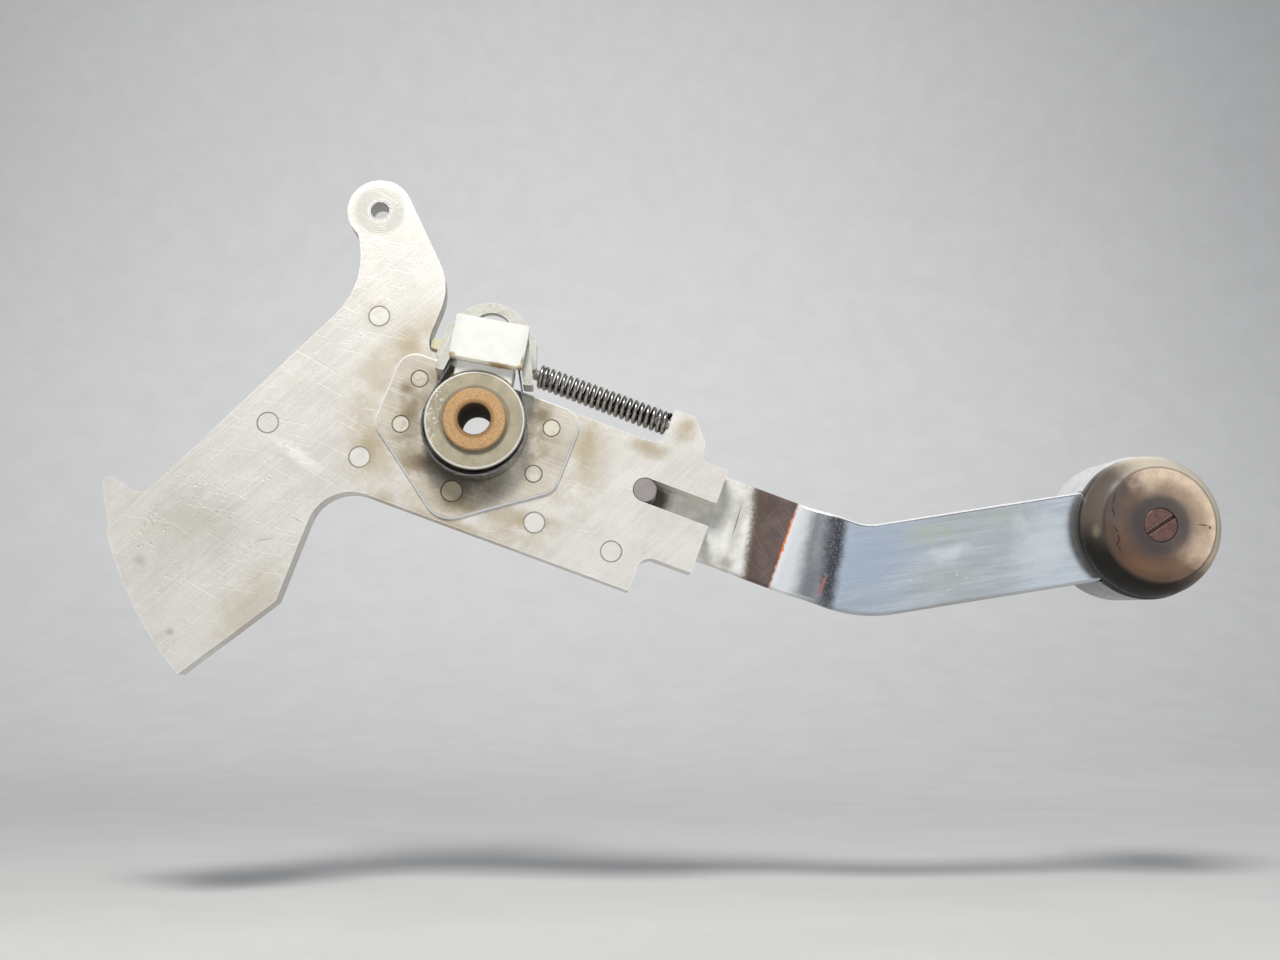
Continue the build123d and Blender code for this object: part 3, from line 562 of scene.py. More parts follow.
def bronze_finish(colours):
    """Porous bronze of the pivot bush, brown at its bore's edge, with painted shade on the bore's wall."""
    coat = Finish("porous bronze")
    grain = coat.noise(3.2, 6.0, 0.8)
    bright = coat.spread(grain, 0.36, 0.66)
    coat.colour = coat.mix(bright, dimmed(colours.bronze, 0.62), dimmed(colours.bronze, 1.15))
    cloud = coat.spread(coat.noise(0.45, 4.0), 0.4, 0.7)
    coat.paint(cloud, 0.35, dimmed(colours.bronze, 0.8))
    pits = coat.effect("pores", Spacing=0.62, Size=0.5)
    some = coat.spread(coat.noise(0.6, 3.0), 0.46, 0.56)
    coat.paint(coat.product(pits["Mask"], some), 0.9, (0.05, 0.03, 0.015))
    coat.wear(0.35, 0.3, 0.45, (1.0, 0.78, 0.5))
    rim = coat.effect("ring mark", Radius=BORE_EDGE + 0.3, Width=0.75)
    coat.paint(rim["Mask"], 0.65, (0.27, 0.135, 0.05))
    # Painted shade, near black, on the bore's wall, also made rough and not metallic
    inside = coat.spread(rim["Distance"], BORE_EDGE, BORE_EDGE - 0.2)
    coat.paint(inside, 0.9, (0.035, 0.024, 0.018))
    height = coat.less(grain, coat.product(pits["Mask"], 1.5))
    rough = coat.spread(inside, 0.0, 1.0, 0.44, 0.9)
    metallic = coat.spread(inside, 0.0, 1.0, 0.5, 0.0)
    return coat.done(rough, metallic, height, 0.35, 0.00005, Specular_IOR_Level=0.3)


def arm_steel(coat, smoke, cross, broad, small):
    """Colour of the arm's bare steel, grimy round the pin, with a painted shadow beside the pin."""
    steel = coat.mix(coat.spread(smoke, 0.35, 0.68), (0.92, 0.915, 0.89), (0.60, 0.58, 0.50))
    steel = coat.layer(steel, coat.spread(cross["Streaks"], 0.42, 0.62), 0.35, (0.90, 0.90, 0.88))
    fade = coat.patch((71.4, -1.0), (2.2, 16.0), broad, 4.0, 0.0, 0.7)
    steel = coat.layer(steel, fade, 0.45, (0.44, 0.38, 0.30))
    corner = coat.patch((71.8, -9.4), (3.2, 2.4), small, 0.0, 0.0)
    steel = coat.layer(steel, corner, 0.6, (0.24, 0.22, 0.18))
    score = coat.patch((70.95, 2.2), (0.20, 6.0), small, 3.5, 0.4, 0.9)
    steel = coat.layer(steel, score, 0.8, (0.13, 0.11, 0.09))
    grime = coat.patch((49.5, 0.1), (6.5, 6.5), small, 0.0, 0.2)
    grime = coat.product(grime, coat.along(LEFT, -55.5, -52.0))
    steel = coat.layer(steel, grime, 0.8, (0.20, 0.165, 0.095))
    # Painted shadow beside the pin, near black
    pin_shadow = coat.patch((49.0, 0.1), (3.8, 3.8), small, 0.0, 0.5)
    steel = coat.layer(steel, pin_shadow, 0.85, (0.06, 0.05, 0.04))
    haze = coat.patch((74.0, 11.0), (3.8, 6.5), broad, -12.0, 0.0, 1.0)
    steel = coat.layer(steel, haze, 0.8, (0.16, 0.115, 0.085))
    return steel


def arm_copper(coat, smoke, broad):
    """Colour of the coppery zone where the plating has gone."""
    copper = coat.mix(coat.spread(smoke, 0.36, 0.62), (0.150, 0.102, 0.085), (0.112, 0.078, 0.080))
    copper = coat.layer(copper, coat.spread(coat.noise(0.5, 5.0), 0.4, 0.7), 0.4, (0.20, 0.14, 0.115))
    burnt = coat.patch((77.5, 8.5), (4.5, 5.0), broad, 0.0, 0.0)
    copper = coat.layer(copper, burnt, 0.8, (0.095, 0.06, 0.045))
    return copper


def arm_plating(coat, colours, streaked, fine, smoke, broad):
    """Colour of the plated arm, streaked, clouded and speckled, with painted reflections in blue-grey,
    greenish and cream tints and a pale painted highlight near the knob.
    """
    streaks = coat.spread(fine["Streaks"], 0.36, 0.64)
    streaks = coat.product(streaks, coat.along((1.0, 0.0, 0.15), 94.0, 103.0))
    bright = coat.mix(coat.total(streaks, 0.1), dimmed(colours.chrome, 0.84), dimmed(colours.chrome, 1.12))
    # Painted reflections: blue-grey, cream, greenish and white tints over the chrome, and a pale painted
    # highlight near the knob
    drift = coat.noise(1.0, 5.0, 0.6, vector=coat.vector_maths("MULTIPLY", streaked, (0.04, 0.3, 0.35)))
    bright = coat.layer(bright, coat.spread(drift, 0.42, 0.66), 0.55, (0.40, 0.45, 0.50))
    bright = coat.layer(bright, coat.spread(smoke, 0.5, 0.72), 0.35, (0.62, 0.62, 0.52))
    dusky = coat.spread(coat.maths("ABSOLUTE", coat.less(coat.reach(RIGHT), 108.0)), 16.0, 2.0)
    bright = coat.layer(bright, dusky, 0.45, (0.34, 0.40, 0.47))
    olive = coat.spread(coat.maths("ABSOLUTE", coat.less(coat.reach(RIGHT), 131.0)), 20.0, 7.0)
    olive = coat.product(olive, coat.spread(drift, 0.30, 0.60, 0.45, 1.0))
    bright = coat.layer(bright, olive, 0.62, (0.43, 0.435, 0.40))
    for place, reach, share, tint in (
        ((103.0, 4.0), (14.0, 11.0), 0.5, (0.40, 0.47, 0.58)),
        ((119.0, 16.5), (11.0, 5.0), 0.55, (0.50, 0.53, 0.40)),
        ((126.5, 6.5), (10.0, 4.5), 0.45, (0.46, 0.49, 0.42)),
        ((135.5, 27.0), (9.0, 3.0), 0.40, (0.58, 0.60, 0.48)),
        ((125.0, 13.0), (7.0, 3.5), 0.40, (0.95, 0.97, 1.0)),
        ((147.0, 24.0), (14.0, 13.0), 0.65, (0.72, 0.73, 0.71)),
    ):
        bright = coat.layer(bright, coat.patch(place, reach, broad, 27.0, 0.0, 1.8), share, tint)
    specks = coat.effect("pores", Spacing=0.9, Size=0.34, Share=0.5)
    speckled = coat.patch((122.0, 5.0), (20.0, 7.0), broad, 27.0, 0.2, 1.4)
    bright = coat.layer(bright, coat.product(specks["Mask"], speckled), 0.6, WHITE)
    return bright


def arm_finish(colours):
    """Chromed arm with bare, coppery and plated zones along its length, the plating with painted
    reflections and painted highlights.
    """
    coat = Finish("arm chrome", -ARM_DROOP)
    streaked = coat.place(radians(9.0))
    broad = coat.tooth(0.2)
    small = coat.tooth(0.85)
    fine = coat.effect("brushing", Vector=streaked, Scale=1.3, Scratches=0.5)
    cross = coat.effect("brushing", Vector=coat.place(radians(70.0)), Scale=1.2, Scratches=0.4)
    smoke = coat.noise(0.13, 6.0, 0.65)
    grit = coat.noise(1.6, 6.0, 0.75)
    grain = coat.tooth(1.2, 8.0)
    slant = (1.0, 0.0, 0.2)
    steel = arm_steel(coat, smoke, cross, broad, small)
    copper = arm_copper(coat, smoke, broad)
    bare = coat.effect("band", Direction=slant, Start=COPPER_START, Softness=2.8, Tooth=grain, Ragged=3.0)
    tide = coat.effect("band", Direction=slant, Start=TIDE_START, Softness=4.2, Tooth=grain, Ragged=3.0)
    coat.colour = coat.mix(bare["Mask"], steel, copper)
    mark = coat.product(bare["Mask"], coat.less(1.0, tide["Mask"]))
    coat.paint(mark, 0.7, (0.11, 0.075, 0.05))
    bright = arm_plating(coat, colours, streaked, fine, smoke, broad)
    plated = coat.effect("band", Start=PLATED_START, Softness=0.15, Tooth=small, Ragged=1.3)
    inner = coat.effect("band", Start=PLATED_START - 0.45, Softness=0.3, Tooth=small, Ragged=1.5)
    coat.colour = coat.mix(plated["Mask"], coat.colour, bright)
    fringe = coat.product(inner["Mask"], coat.less(1.0, plated["Mask"]))
    hot = coat.patch((84.6, 1.5), (3.0, 9.0), small, 0.0, 0.4, 0.6)
    coat.paint(fringe, 0.75, (0.80, 0.50, 0.38))
    coat.paint(coat.product(fringe, hot), 1.0, (0.95, 0.22, 0.04))
    # Painted reflection: the plating near its start painted nearly white and made less metallic
    tilted = (1.0, 0.0, 0.1)
    blue = coat.effect("band", Direction=tilted, Start=BLUE_START, Softness=6.0, Tooth=broad, Ragged=4.0)
    bright_reflection = coat.product(plated["Mask"], coat.less(1.0, blue["Mask"]))
    coat.paint(bright_reflection, 0.8, (0.95, 0.97, 1.0))
    # Painted reflection of dark surroundings: a near-black band where the arm bends, broken by pale specks
    # and weaker towards its lower edge
    leaning, upright = (1.0, 0.0, 0.215), (1.0, 0.0, 0.143)
    start = coat.effect("band", Direction=leaning, Start=REFLECTION_START, Softness=5.2, Tooth=broad, Ragged=6.0)
    stop = coat.effect("band", Direction=upright, Start=REFLECTION_END, Softness=2.6, Tooth=broad, Ragged=3.0)
    shade = coat.product(start["Mask"], coat.less(1.0, stop["Mask"]))
    dust = coat.spread(grit, 0.52, 0.62, 1.0, 0.55)
    weaker = coat.along(UP, -16.0, -6.0)
    dark = coat.product(shade, dust, coat.spread(weaker, 0.0, 1.0, 0.6, 1.0))
    coat.paint(dark, 0.93, (0.042, 0.042, 0.052))
    pink = coat.patch((96.8, -6.4), (0.55, 3.9), small, -5.0, 0.5, 0.9)
    coat.paint(pink, 0.9, (0.50, 0.20, 0.19))
    scratch = coat.greatest(fine["Scratches"], cross["Scratches"])
    coat.paint(scratch, 0.08, WHITE)
    wear = coat.effect("edge wear", Radius=0.5 * MM, Breakup=0.3)
    coat.paint(wear["Mask"], 0.8, WHITE)
    # Painted highlight: upward-facing plating painted white and made less metallic
    facing = coat.add("TexCoord").outputs["Normal"]
    top_highlight = coat.product(coat.along(UP, 0.25, 0.6, facing), plated["Mask"])
    coat.paint(top_highlight, 0.9, WHITE)
    rough = coat.spread(plated["Mask"], 0.0, 1.0, 0.46, 0.22)
    rough = coat.total(rough, coat.product(dark, 0.25))
    rough = coat.total(rough, coat.spread(fine["Streaks"], 0.3, 0.7, 0.0, 0.04))
    height = coat.total(coat.product(grit, 0.7), coat.product(plated["Mask"], 1.2))
    metallic = coat.product(
        coat.spread(plated["Mask"], 0.0, 1.0, 0.25, 0.9),
        coat.spread(bright_reflection, 0.0, 1.0, 1.0, 0.35),
        coat.spread(wear["Mask"], 0.0, 1.0, 1.0, 0.1),
        coat.spread(top_highlight, 0.0, 1.0, 1.0, 0.1),
    )
    return coat.done(rough, metallic, height, 0.06, 0.00005)


def knob_front_finish(colours):
    """Aged plastic of the knob's face, rubbed dark round the screw, with painted shade down its left side
    and bottom and painted light on the upper right of its shoulder.
    """
    coat = Finish("aged knob plastic", 0.0, -KNOB_TILT, KNOB_CENTRE)
    broad = coat.tooth(0.12)
    small = coat.tooth(0.6)
    ring = coat.effect("ring mark")
    face = coat.spread(ring["Distance"], KNOB_FACE_EDGE + 0.15, KNOB_FACE_EDGE - 0.25)
    cloud = coat.noise(0.3, 6.0, 0.7)
    soft = coat.product(broad, 12.0)
    coat.colour = coat.mix(coat.spread(cloud, 0.35, 0.7), colours.knob, dimmed(colours.knob, 0.78))
    # Painted shade: darker down the left side and towards the bottom of the knob
    left = coat.spread(coat.total(coat.reach((-0.93, 0.0, -0.33)), soft), -2.5, 5.5)
    coat.paint(left, 0.94, (0.086, 0.066, 0.062))
    low = coat.spread(coat.total(coat.reach((-0.35, 0.0, -0.94)), soft), 1.5, 9.0)
    coat.paint(low, 0.9, (0.115, 0.066, 0.040))
    rust = coat.patch((-4.5, -10.4), (7.5, 3.2), broad, -14.0, 0.1, 0.9)
    coat.paint(coat.product(rust, face), 0.65, (0.20, 0.10, 0.050))
    warm = coat.effect("ring mark", Centre=(0.5, 0, -0.5), Radius=9.0, Width=4.5)
    coat.paint(coat.product(warm["Mask"], coat.spread(broad, -0.25, 0.1)), 0.55, (0.22, 0.135, 0.085))
    halo = coat.spread(coat.total(ring["Distance"], coat.product(broad, 4.0)), 11.5, 5.5)
    coat.paint(halo, 0.90, (0.085, 0.066, 0.064))
    core = coat.spread(ring["Distance"], 8.2, 6.6)
    coat.paint(core, 0.55, (0.070, 0.064, 0.066))
    lathe = coat.maths("SINE", coat.product(ring["Distance"], 9.5))
    turned = coat.patch((6.5, -6.5), (8.5, 6.5), broad, 35.0, 0.1, 0.5)
    coat.paint(coat.product(coat.spread(lathe, -0.2, 1.0), turned), 0.30, (0.40, 0.27, 0.17))
    shoulder = coat.less(1.0, face)
    # Painted light: the upper right of the shoulder made paler
    pale = coat.along((0.7, 0.0, 0.7), -1.0, 12.0)
    coat.paint(coat.product(shoulder, pale), 0.85, (0.60, 0.55, 0.45))
    # Painted shade, olive-brown, on the left of the shoulder
    olive = coat.along((-0.95, 0.0, -0.3), 2.0, 13.0)
    coat.paint(coat.product(shoulder, olive), 0.9, (0.150, 0.122, 0.100))
    # Painted shade, near black, on the shoulder's lower side
    under = coat.spread(coat.total(coat.reach((-0.45, 0.0, -0.89)), coat.product(small, 3.0)), 5.0, 13.5)
    coat.paint(coat.product(shoulder, under), 0.97, (0.010, 0.009, 0.007))
    glint = coat.patch((-16.2, -1.4), (1.2, 2.4), small, 0.0, 0.0)
    coat.paint(coat.product(shoulder, glint), 0.6, (0.30, 0.25, 0.17))
    # Painted shade along the face's edge, where it meets the shoulder
    crease = coat.spread(coat.maths("ABSOLUTE", coat.less(ring["Distance"], KNOB_FACE_EDGE)), 0.4, 0.12)
    coat.paint(crease, 0.5, (0.05, 0.04, 0.032))
    # Painted shade on the left of the front half's side wall, next to the seam
    band = coat.along(BACK, -2.6, -2.2)
    coat.paint(coat.product(band, olive), 0.85, (0.10, 0.088, 0.060))
    depth = coat.reach(BACK)
    seam_width = coat.spread(olive, 0.0, 1.0, 0.25, 1.0)
    off_seam = coat.maths("DIVIDE", coat.maths("ABSOLUTE", coat.less(depth, KNOB_SEAM)), seam_width)
    seam = coat.spread(off_seam, 1.0, 0.6)
    coat.paint(seam, 0.92, (0.010, 0.010, 0.012))
    cracks = coat.patches((
        ((-11.9, 6.8), (0.20, 2.6), -14.0),
        ((-12.2, 3.4), (0.26, 1.5), 12.0),
        ((-11.7, -1.2), (0.24, 1.3), 35.0),
        ((-11.1, -3.0), (0.28, 1.2), 15.0),
        ((-11.3, -4.6), (0.24, 1.2), -22.0),
        ((-10.9, -6.2), (0.22, 0.9), 12.0),
        ((10.9, 0.0), (1.7, 0.20), -6.0),
        ((12.7, -0.7), (0.45, 0.5), 0.0),
    ), small, 0.5, 1.0)
    coat.paint(cracks, 0.85, (0.035, 0.024, 0.018))
    rough = coat.spread(cloud, 0.3, 0.7, 0.30, 0.46)
    height = coat.less(coat.product(lathe, turned, 0.25), coat.product(cracks, 1.5))
    height = coat.less(height, coat.product(seam, 2.0))
    sheen = {"Specular_IOR_Level": 0.2, "Coat_Weight": 0.05, "Coat_Roughness": 0.28}
    return coat.done(rough, 0.0, height, 0.4, 0.00015, **sheen)


def knob_rear_finish(colours):
    """Smooth silvery rear half of the knob, with painted shade on its lower side."""
    coat = Finish("pale knob shell", 0.0, -KNOB_TILT, KNOB_CENTRE)
    fine = coat.effect("brushing", Scale=0.9, Scratches=0.5)
    cloud = coat.noise(0.12, 5.0)
    coat.colour = coat.mix(coat.spread(cloud, 0.4, 0.7), colours.knob_pale, dimmed(colours.knob_pale, 0.86))
    coat.paint(coat.spread(fine["Streaks"], 0.42, 0.62), 0.14, dimmed(colours.knob_pale, 0.8))
    coat.stain(6.0, 0.25, 0.25, (0.42, 0.40, 0.36))
    # Painted shade, near black, on the lower side
    low = coat.along((-0.3, 0.0, -0.95), 9.0, 16.0)
    coat.paint(low, 0.9, (0.10, 0.10, 0.105))
    joint = coat.along(FRONT, -0.7, -0.2)
    coat.paint(joint, 0.45, (0.10, 0.10, 0.10))
    rough = coat.spread(cloud, 0.3, 0.7, 0.24, 0.34)
    return coat.done(rough, 0.1, cloud, 0.08, 0.00004, Coat_Weight=0.25, Coat_Roughness=0.15)


def screw_finish():
    """Tarnished red-brown screw with a pale worn outline."""
    coat = Finish("tarnished screw", 0.0, -KNOB_TILT, KNOB_CENTRE)
    cloud = coat.noise(0.6, 6.0, 0.7)
    coat.colour = coat.mix(coat.spread(cloud, 0.35, 0.68), (0.155, 0.078, 0.062), (0.24, 0.145, 0.125))
    speck = coat.spread(coat.noise(2.4, 5.0, 0.8), 0.58, 0.68)
    coat.paint(speck, 0.5, (0.42, 0.30, 0.25))
    coat.wear(0.25, 0.1, 0.8, (0.70, 0.58, 0.48))
    slot = coat.along(BACK, -10.15, -9.5)
    coat.paint(slot, 0.8, (0.10, 0.06, 0.045))
    return coat.done(coat.spread(cloud, 0.3, 0.7, 0.34, 0.5), 0.6, cloud, 0.3, 0.00006)


def nylon_finish(name, tint, brown_share):
    """Milky nylon that lets some light in, brown along its lower edges and corners."""
    coat = Finish(name, -YOKE_LEAN)
    cloud = coat.noise(0.3, 5.0)
    coat.colour = coat.mix(coat.spread(cloud, 0.35, 0.7), tint, dimmed(tint, 0.94))
    edge = coat.effect("edge wear", Radius=0.8 * MM, Breakup=0.1)
    lower = coat.along(DOWN, -17.5, -14.4)
    coat.paint(coat.product(edge["Mask"], lower), brown_share, (0.42, 0.27, 0.10))
    coat.paint(edge["Mask"], 0.25, (0.72, 0.74, 0.60))
    sides = coat.spread(coat.maths("ABSOLUTE", coat.reach(RIGHT)), 5.5, 9.6)
    coat.paint(sides, 0.30, (0.66, 0.74, 0.64))
    ragged = coat.tooth(0.9)
    for place, reach in (
        ((-8.6, 14.9), (1.6, 0.8)),
        ((3.5, 14.5), (4.5, 0.6)),
        ((9.0, 16.5), (0.5, 2.5)),
        ((8.8, 14.6), (1.4, 0.9)),
    ):
        corner = coat.patch(place, reach, ragged, 0.0, 0.2, 1.0)
        coat.paint(corner, brown_share, (0.36, 0.22, 0.075))
    marks = coat.effect("pores", Spacing=2.2, Size=0.10)
    coat.paint(marks["Mask"], 0.5, (0.30, 0.27, 0.20))
    rough = coat.spread(cloud, 0.3, 0.7, 0.30, 0.42)
    milky = {"Subsurface_Weight": 0.4, "Subsurface_Scale": 2 * MM, "Subsurface_Radius": (1.0, 0.95, 0.8)}
    return coat.done(rough, 0.0, cloud, 0.15, 0.0001, **milky)


def spring_finish():
    """Dark oiled spring wire, with painted shade on the inner side of the coils."""
    coat = Finish("oiled spring wire", -ARM_DROOP)
    grain = coat.noise(1.4, 5.0, 0.7)
    coat.colour = coat.mix(coat.spread(grain, 0.38, 0.66), (0.50, 0.47, 0.43), (0.30, 0.27, 0.24))
    coat.stain(3.0, 0.35, 0.6, (0.07, 0.055, 0.045))
    # Painted shade: near black towards the spring's axis, on the inner side of the coils
    away = coat.vector_maths("SUBTRACT", coat.vector, (0.0, 0.0, SPRING_ACROSS))
    away = coat.vector_maths("MULTIPLY", away, (0.0, 1.0, 1.0))
    inner = coat.spread(coat.vector_maths("LENGTH", away), 3.0, 2.75)
    coat.paint(inner, 0.93, (0.02, 0.018, 0.016))
    rough = coat.spread(grain, 0.3, 0.7, 0.20, 0.34)
    return coat.done(rough, 0.9, grain, 0.2, 0.00003)


# New pieces


def object_from(mesh, name, material):
    """Smooth object made from a bmesh."""
    data = bpy.data.meshes.new(name)
    bmesh.ops.recalc_face_normals(mesh, faces=mesh.faces)
    mesh.to_mesh(data)
    mesh.free()
    piece = bpy.data.objects.new(name, data)
    bpy.context.scene.collection.objects.link(piece)
    data.materials.append(material)
    for face in data.polygons:
        face.use_smooth = True
    return piece


def coil_mesh():
    """Helical spring along the arm, wound in runs of turns and their pitch."""
    mesh = bmesh.new()
    first = lever_point(SPRING_START, SPRING_ACROSS)
    circle = bmesh.ops.create_circle(mesh, cap_ends=False, segments=10, radius=SPRING_WIRE / 2 * MM)
    upright = Matrix.Rotation(pi / 2, 4, "X")
    seat = Matrix((ARM_DIRECTION, TOWARDS_BACK, ARM_DIRECTION.cross(TOWARDS_BACK))).transposed().to_4x4()
    bmesh.ops.transform(mesh, matrix=seat @ upright, verts=circle["verts"])
    bmesh.ops.translate(mesh, vec=first + ACROSS_ARM * SPRING_RADIUS * MM, verts=circle["verts"])
    ring = list(mesh.verts) + list(mesh.edges)
    for turns, pitch in SPRING_RUNS:
        made = bmesh.ops.spin(
            mesh,
            geom=ring,
            cent=first,
            axis=ARM_DIRECTION,
            dvec=ARM_DIRECTION * (pitch * MM / COIL_STEPS),
            angle=2 * pi * turns,
            steps=round(turns * COIL_STEPS),
            use_merge=False,
            use_duplicate=False,
        )
        ring = made["geom_last"]
        first = first + ARM_DIRECTION * (pitch * MM * turns)
    bmesh.ops.holes_fill(mesh, edges=[edge for edge in mesh.edges if edge.is_boundary], sides=0)
    return mesh


# Settings


class LeverColours(bpy.types.PropertyGroup):
    """Colours of the lever's finishes."""

    plate: FloatVectorProperty(
        name="Plates", description="Lever plates", default=(0.80, 0.77, 0.715), subtype="COLOR"
    )
    hub: FloatVectorProperty(
        name="Hub", description="Hub plate", default=(0.76, 0.69, 0.58), subtype="COLOR"
    )
    drum: FloatVectorProperty(
        name="Drum", description="Brake drum", default=(0.50, 0.44, 0.315), subtype="COLOR"
    )
    bronze: FloatVectorProperty(
        name="Bronze", description="Pivot bush", default=(0.66, 0.41, 0.20), subtype="COLOR"
    )
    chrome: FloatVectorProperty(
        name="Chrome", description="Plated arm", default=(0.60, 0.625, 0.665), subtype="COLOR"
    )
    nylon: FloatVectorProperty(
        name="Nylon", description="Brake shoe", default=(0.94, 0.94, 0.88), subtype="COLOR"
    )
    knob: FloatVectorProperty(
        name="Knob face", description="Light part of the face", default=(0.84, 0.66, 0.50), subtype="COLOR"
    )
    knob_pale: FloatVectorProperty(
        name="Knob rear", description="Rear half of the knob", default=(0.98, 0.98, 1.0), subtype="COLOR"
    )


class LeverStudio(bpy.types.PropertyGroup):
    """Studio and camera of the lever."""

    floor_height: FloatProperty(
        name="Floor height", description="Height of the floor", default=-0.118, unit="LENGTH"
    )
    key_power: FloatProperty(
        name="Key light", description="Power of the soft light above", default=4.5, min=0.0
    )
    panel_power: FloatProperty(
        name="Front panel", description="Power of the large panel in front", default=2.2, min=0.0
    )
    backdrop_power: FloatProperty(
        name="Backdrop light", description="Power of the light on the backdrop", default=15.0, min=0.0
    )
    world_strength: FloatProperty(
        name="Surroundings", description="Strength of the even light", default=0.2, min=0.0
    )
    lens: FloatProperty(name="Lens", description="Focal length on a 36 mm sensor", default=36.5625)


# Operators

EFFECTS = (
    edge_wear_group,
    brushing_group,
    stain_group,
    ring_group,
    band_group,
    patch_group,
    pore_group,
)


class LEVER_OT_effects(bpy.types.Operator):
    """Builds the effects that several finishes share"""

    bl_idname = "lever.effects"
    bl_label = "Shared effects"

    def execute(self, context):
        for build in EFFECTS:
            build()
        return {"FINISHED"}


class LEVER_OT_plates(bpy.types.Operator):
    """Finishes the lever plates, the rail, the keeper and the rivets"""

    bl_idname = "lever.plates"
    bl_label = "Plates and rivets"

    def execute(self, context):
        colours = context.scene.lever_colours
        plate = plate_finish(colours)
        for name in ("front_plate", "rear_plate", "guide_rail", "keeper_plate"):
            finish_node(name, plate)
        pale, dark, brown = tuple(colours.plate), (0.16, 0.14, 0.11), (0.50, 0.43, 0.30)
        rivet = plain_metal("rivet metal", pale, (0.56, 0.53, 0.46), 0.40, 0.6, 0.3, 2.2, 0.45, dark)
        for name in ("plate_rivets", "rail_rivets"):
            finish_node(name, rivet)
        for name, title, base, shade in (
            ("hub_rivets", "hub rivet metal", dimmed(colours.hub, 1.05), (0.34, 0.28, 0.18)),
            ("hub_long_rivet", "oily rivet metal", brown, (0.30, 0.25, 0.16)),
        ):
            finish_node(name, plain_metal(title, base, shade, 0.38, 0.3, 0.45, 2.2, 0.5, dark))
        steel = plain_metal("plain steel", (0.46, 0.45, 0.44), (0.25, 0.23, 0.2), 0.35)
        for name in ("cable_bush", "spring_peg", "return_post", "spring_plug"):
            finish_node(name, steel)
        return {"FINISHED"}


class LEVER_OT_hub(bpy.types.Operator):
    """Finishes the hub plate, the drum and the pivot bush"""

    bl_idname = "lever.hub"
    bl_label = "Hub"

    def execute(self, context):
        colours = context.scene.lever_colours
        finish_node("hub_plate", hub_plate_finish(colours))
        finish_node("hub_drum", drum_finish(colours))
        finish_node("pivot_bush", bronze_finish(colours))
        return {"FINISHED"}


class LEVER_OT_brake(bpy.types.Operator):
    """Finishes the brake yoke, the shoe, the strap and the bumper"""

    bl_idname = "lever.brake"
    bl_label = "Brake yoke"

    def execute(self, context):
        nylon = tuple(context.scene.lever_colours.nylon)
        pale, dark = (0.60, 0.585, 0.53), (0.27, 0.25, 0.205)
        cast = plain_metal("yoke metal", pale, dark, 0.46, 0.3, 0.25, stain=0.5, speck=0.75)
        strap = plain_metal("strap steel", (0.30, 0.29, 0.27), (0.07, 0.065, 0.06), 0.26, 0.0, 0.95)
        retainer = plain_metal("retainer steel", (0.30, 0.29, 0.28), (0.12, 0.11, 0.10), 0.35)
        finish_node("yoke", cast)
        finish_node("brake_shoe", nylon_finish("milky nylon", nylon, 0.85))
        finish_node("yoke_bumper", nylon_finish("yellowed nylon", (0.80, 0.72, 0.44), 0.3))
        finish_node("brake_strap", strap)
        finish_node("shoe_retainer", retainer)
        return {"FINISHED"}


class LEVER_OT_springs(bpy.types.Operator):
    """Models the long coil spring and finishes the return spring"""

    bl_idname = "lever.springs"
    bl_label = "Springs"

    def execute(self, context):
        dark = spring_finish()
        piece = object_from(coil_mesh(), "long_spring", dark)
        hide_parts("yoke_spring")
        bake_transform(piece)
        finish_node("return_spring", dark)
        return {"FINISHED"}


class LEVER_OT_arm(bpy.types.Operator):
    """Finishes the arm bar and its guide pin"""

    bl_idname = "lever.arm"
    bl_label = "Arm"

    def execute(self, context):
        colours = context.scene.lever_colours
        finish_node("arm_bar", arm_finish(colours))
        centre = tuple(lever_point(*PIN) / MM)
        pin = turned_metal("pin steel", (0.42, 0.375, 0.355), (0.22, 0.19, 0.18), 0.36, centre, 8.5, 0.7)
        finish_node("guide_pin", pin)
        return {"FINISHED"}


class LEVER_OT_knob(bpy.types.Operator):
    """Finishes the knob's halves, its screw and its insert"""

    bl_idname = "lever.knob"
    bl_label = "Knob"

    def execute(self, context):
        colours = context.scene.lever_colours
        finish_node("knob_front", knob_front_finish(colours))
        finish_node("knob_rear", knob_rear_finish(colours))
        finish_node("knob_screw", screw_finish())
        finish_node("knob_insert", bronze_finish(colours))
        return {"FINISHED"}


class LEVER_OT_stage(bpy.types.Operator):
    """Sets up the floor, the soft lights and the camera"""

    bl_idname = "lever.stage"
    bl_label = "Stage"

    def execute(self, context):
        studio = context.scene.lever_studio
        make_floor(studio)
        make_lights(studio)
        make_camera(studio)
        return {"FINISHED"}


# Stage

CAMERA_PLACE = (22.9, -328.2, -74.8)
CAMERA_AIM = (75.0, 1300.0, 245.0)
SENSOR_WIDTH = 36.0


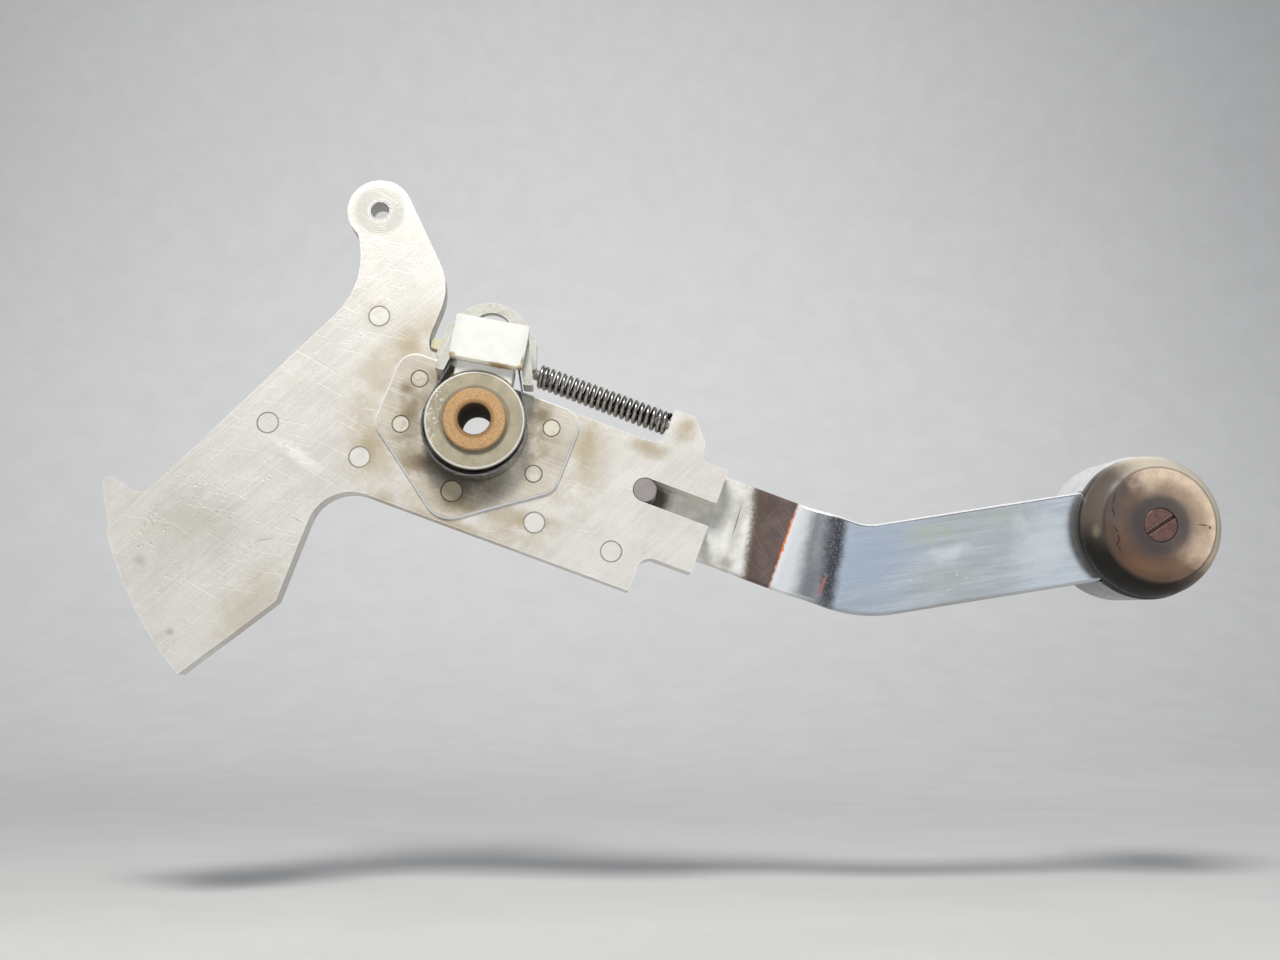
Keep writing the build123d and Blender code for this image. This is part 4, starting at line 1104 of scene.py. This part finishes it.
def make_floor(studio):
    """Pale floor that curves up into a backdrop far behind."""
    mesh = bmesh.new()
    width, front, back, bend, height = 14.0, -9.0, 0.9, 1.2, 3.4
    start = mesh.verts.new((0, front, studio.floor_height))
    corner = mesh.verts.new((0, back, studio.floor_height))
    mesh.edges.new((start, corner))
    made = bmesh.ops.spin(
        mesh,
        geom=[corner],
        cent=(0, back, studio.floor_height + bend),
        axis=RIGHT,
        angle=pi / 2,
        steps=40,
        use_merge=False,
        use_duplicate=False,
    )
    last = [item for item in made["geom_last"] if isinstance(item, bmesh.types.BMVert)][0]
    top = mesh.verts.new((0, last.co.y, studio.floor_height + height))
    mesh.edges.new((last, top))
    extruded = bmesh.ops.extrude_edge_only(mesh, edges=list(mesh.edges))
    moved = [item for item in extruded["geom"] if isinstance(item, bmesh.types.BMVert)]
    bmesh.ops.translate(mesh, vec=(width, 0, 0), verts=moved)
    bmesh.ops.translate(mesh, vec=(-width / 2, 0, 0), verts=mesh.verts)
    coat = Finish("pale floor")
    tone = coat.spread(coat.noise(0.02), 0.3, 0.7)
    coat.colour = coat.mix(tone, (0.74, 0.735, 0.725), (0.77, 0.765, 0.755))
    floor = object_from(mesh, "studio_floor", coat.done(0.9, Specular_IOR_Level=0.0))


def area_light(name, place, aim, size, power, colour=WHITE):
    """Soft rectangular light aimed at a point."""
    data = bpy.data.lights.new(name, "AREA")
    data.shape = "RECTANGLE"
    data.size, data.size_y = size
    data.energy = power
    data.color = colour
    light = bpy.data.objects.new(name, data)
    light.location = place
    light.rotation_mode = "QUATERNION"
    light.rotation_quaternion = (Vector(aim) - Vector(place)).to_track_quat("-Z", "Y")
    bpy.context.scene.collection.objects.link(light)
    return light


def make_lights(studio):
    """Large soft lights above, in front and behind the lever, and an even surround."""
    target = (0.04, 0.0, -0.01)
    warm, cool = (1.0, 0.985, 0.95), (0.88, 0.94, 1.0)
    area_light("key_light", (-0.05, -0.48, 0.52), target, (0.22, 0.18), studio.key_power, warm)
    area_light("front_panel", (0.6, -1.45, 0.22), target, (1.1, 0.8), studio.panel_power, cool)
    area_light("back_light", (0.5, 0.62, 0.75), target, (0.5, 0.4), studio.key_power * 0.3)
    backdrop = (0.0, 2.1, 0.4)
    wash = area_light("backdrop_light", (0.0, -0.3, 2.3), backdrop, (2.6, 0.8), studio.backdrop_power)
    wash.data.spread = radians(85)
    world = bpy.data.worlds.new("studio")
    world.use_nodes = True
    background = world.node_tree.nodes["Background"]
    background.inputs["Color"].default_value = (0.84, 0.90, 1.0, 1.0)
    background.inputs["Strength"].default_value = studio.world_strength
    scene = bpy.context.scene
    scene.world = world
    scene.view_settings.view_transform = "Standard"


def make_camera(studio):
    """Camera at the photograph's place and angle."""
    data = bpy.data.cameras.new("camera")
    data.sensor_width = SENSOR_WIDTH
    data.lens = studio.lens
    data.clip_start = 0.01
    data.clip_end = 20.0
    camera = bpy.data.objects.new("camera", data)
    level = Matrix(((1, 0, 0), (0, 0, -1), (0, 1, 0)))
    swing = TOWARDS_BACK.rotation_difference(Vector(CAMERA_AIM).normalized()).to_matrix()
    camera.matrix_world = Matrix.Translation(Vector(CAMERA_PLACE) * MM) @ (swing @ level).to_4x4()
    bpy.context.scene.collection.objects.link(camera)
    bpy.context.scene.camera = camera


OPERATORS = (
    LEVER_OT_effects,
    LEVER_OT_plates,
    LEVER_OT_hub,
    LEVER_OT_brake,
    LEVER_OT_springs,
    LEVER_OT_arm,
    LEVER_OT_knob,
    LEVER_OT_stage,
)


class LEVER_PT_panel(bpy.types.Panel):
    """Lists the steps of the lever's finish"""

    bl_label = "Power lever"
    bl_idname = "LEVER_PT_panel"
    bl_space_type = "VIEW_3D"
    bl_region_type = "UI"
    bl_category = "Lever"

    def draw(self, context):
        for operator in OPERATORS:
            self.layout.operator(operator.bl_idname)
        for group in (context.scene.lever_colours, context.scene.lever_studio):
            for name in group.bl_rna.properties.keys():
                if name not in {"rna_type", "name"}:
                    self.layout.prop(group, name)


CLASSES = (LeverColours, LeverStudio, *OPERATORS, LEVER_PT_panel)


def register():
    for item in CLASSES:
        bpy.utils.register_class(item)
    bpy.types.Scene.lever_colours = PointerProperty(type=LeverColours)
    bpy.types.Scene.lever_studio = PointerProperty(type=LeverStudio)


def unregister():
    del bpy.types.Scene.lever_studio
    del bpy.types.Scene.lever_colours
    for item in reversed(CLASSES):
        bpy.utils.unregister_class(item)


def main():
    register()
    bpy.ops.lever.effects()
    bpy.ops.lever.plates()
    bpy.ops.lever.hub()
    bpy.ops.lever.brake()
    bpy.ops.lever.springs()
    bpy.ops.lever.arm()
    bpy.ops.lever.knob()
    bpy.ops.lever.stage()


if __name__ == "__main__":
    main()
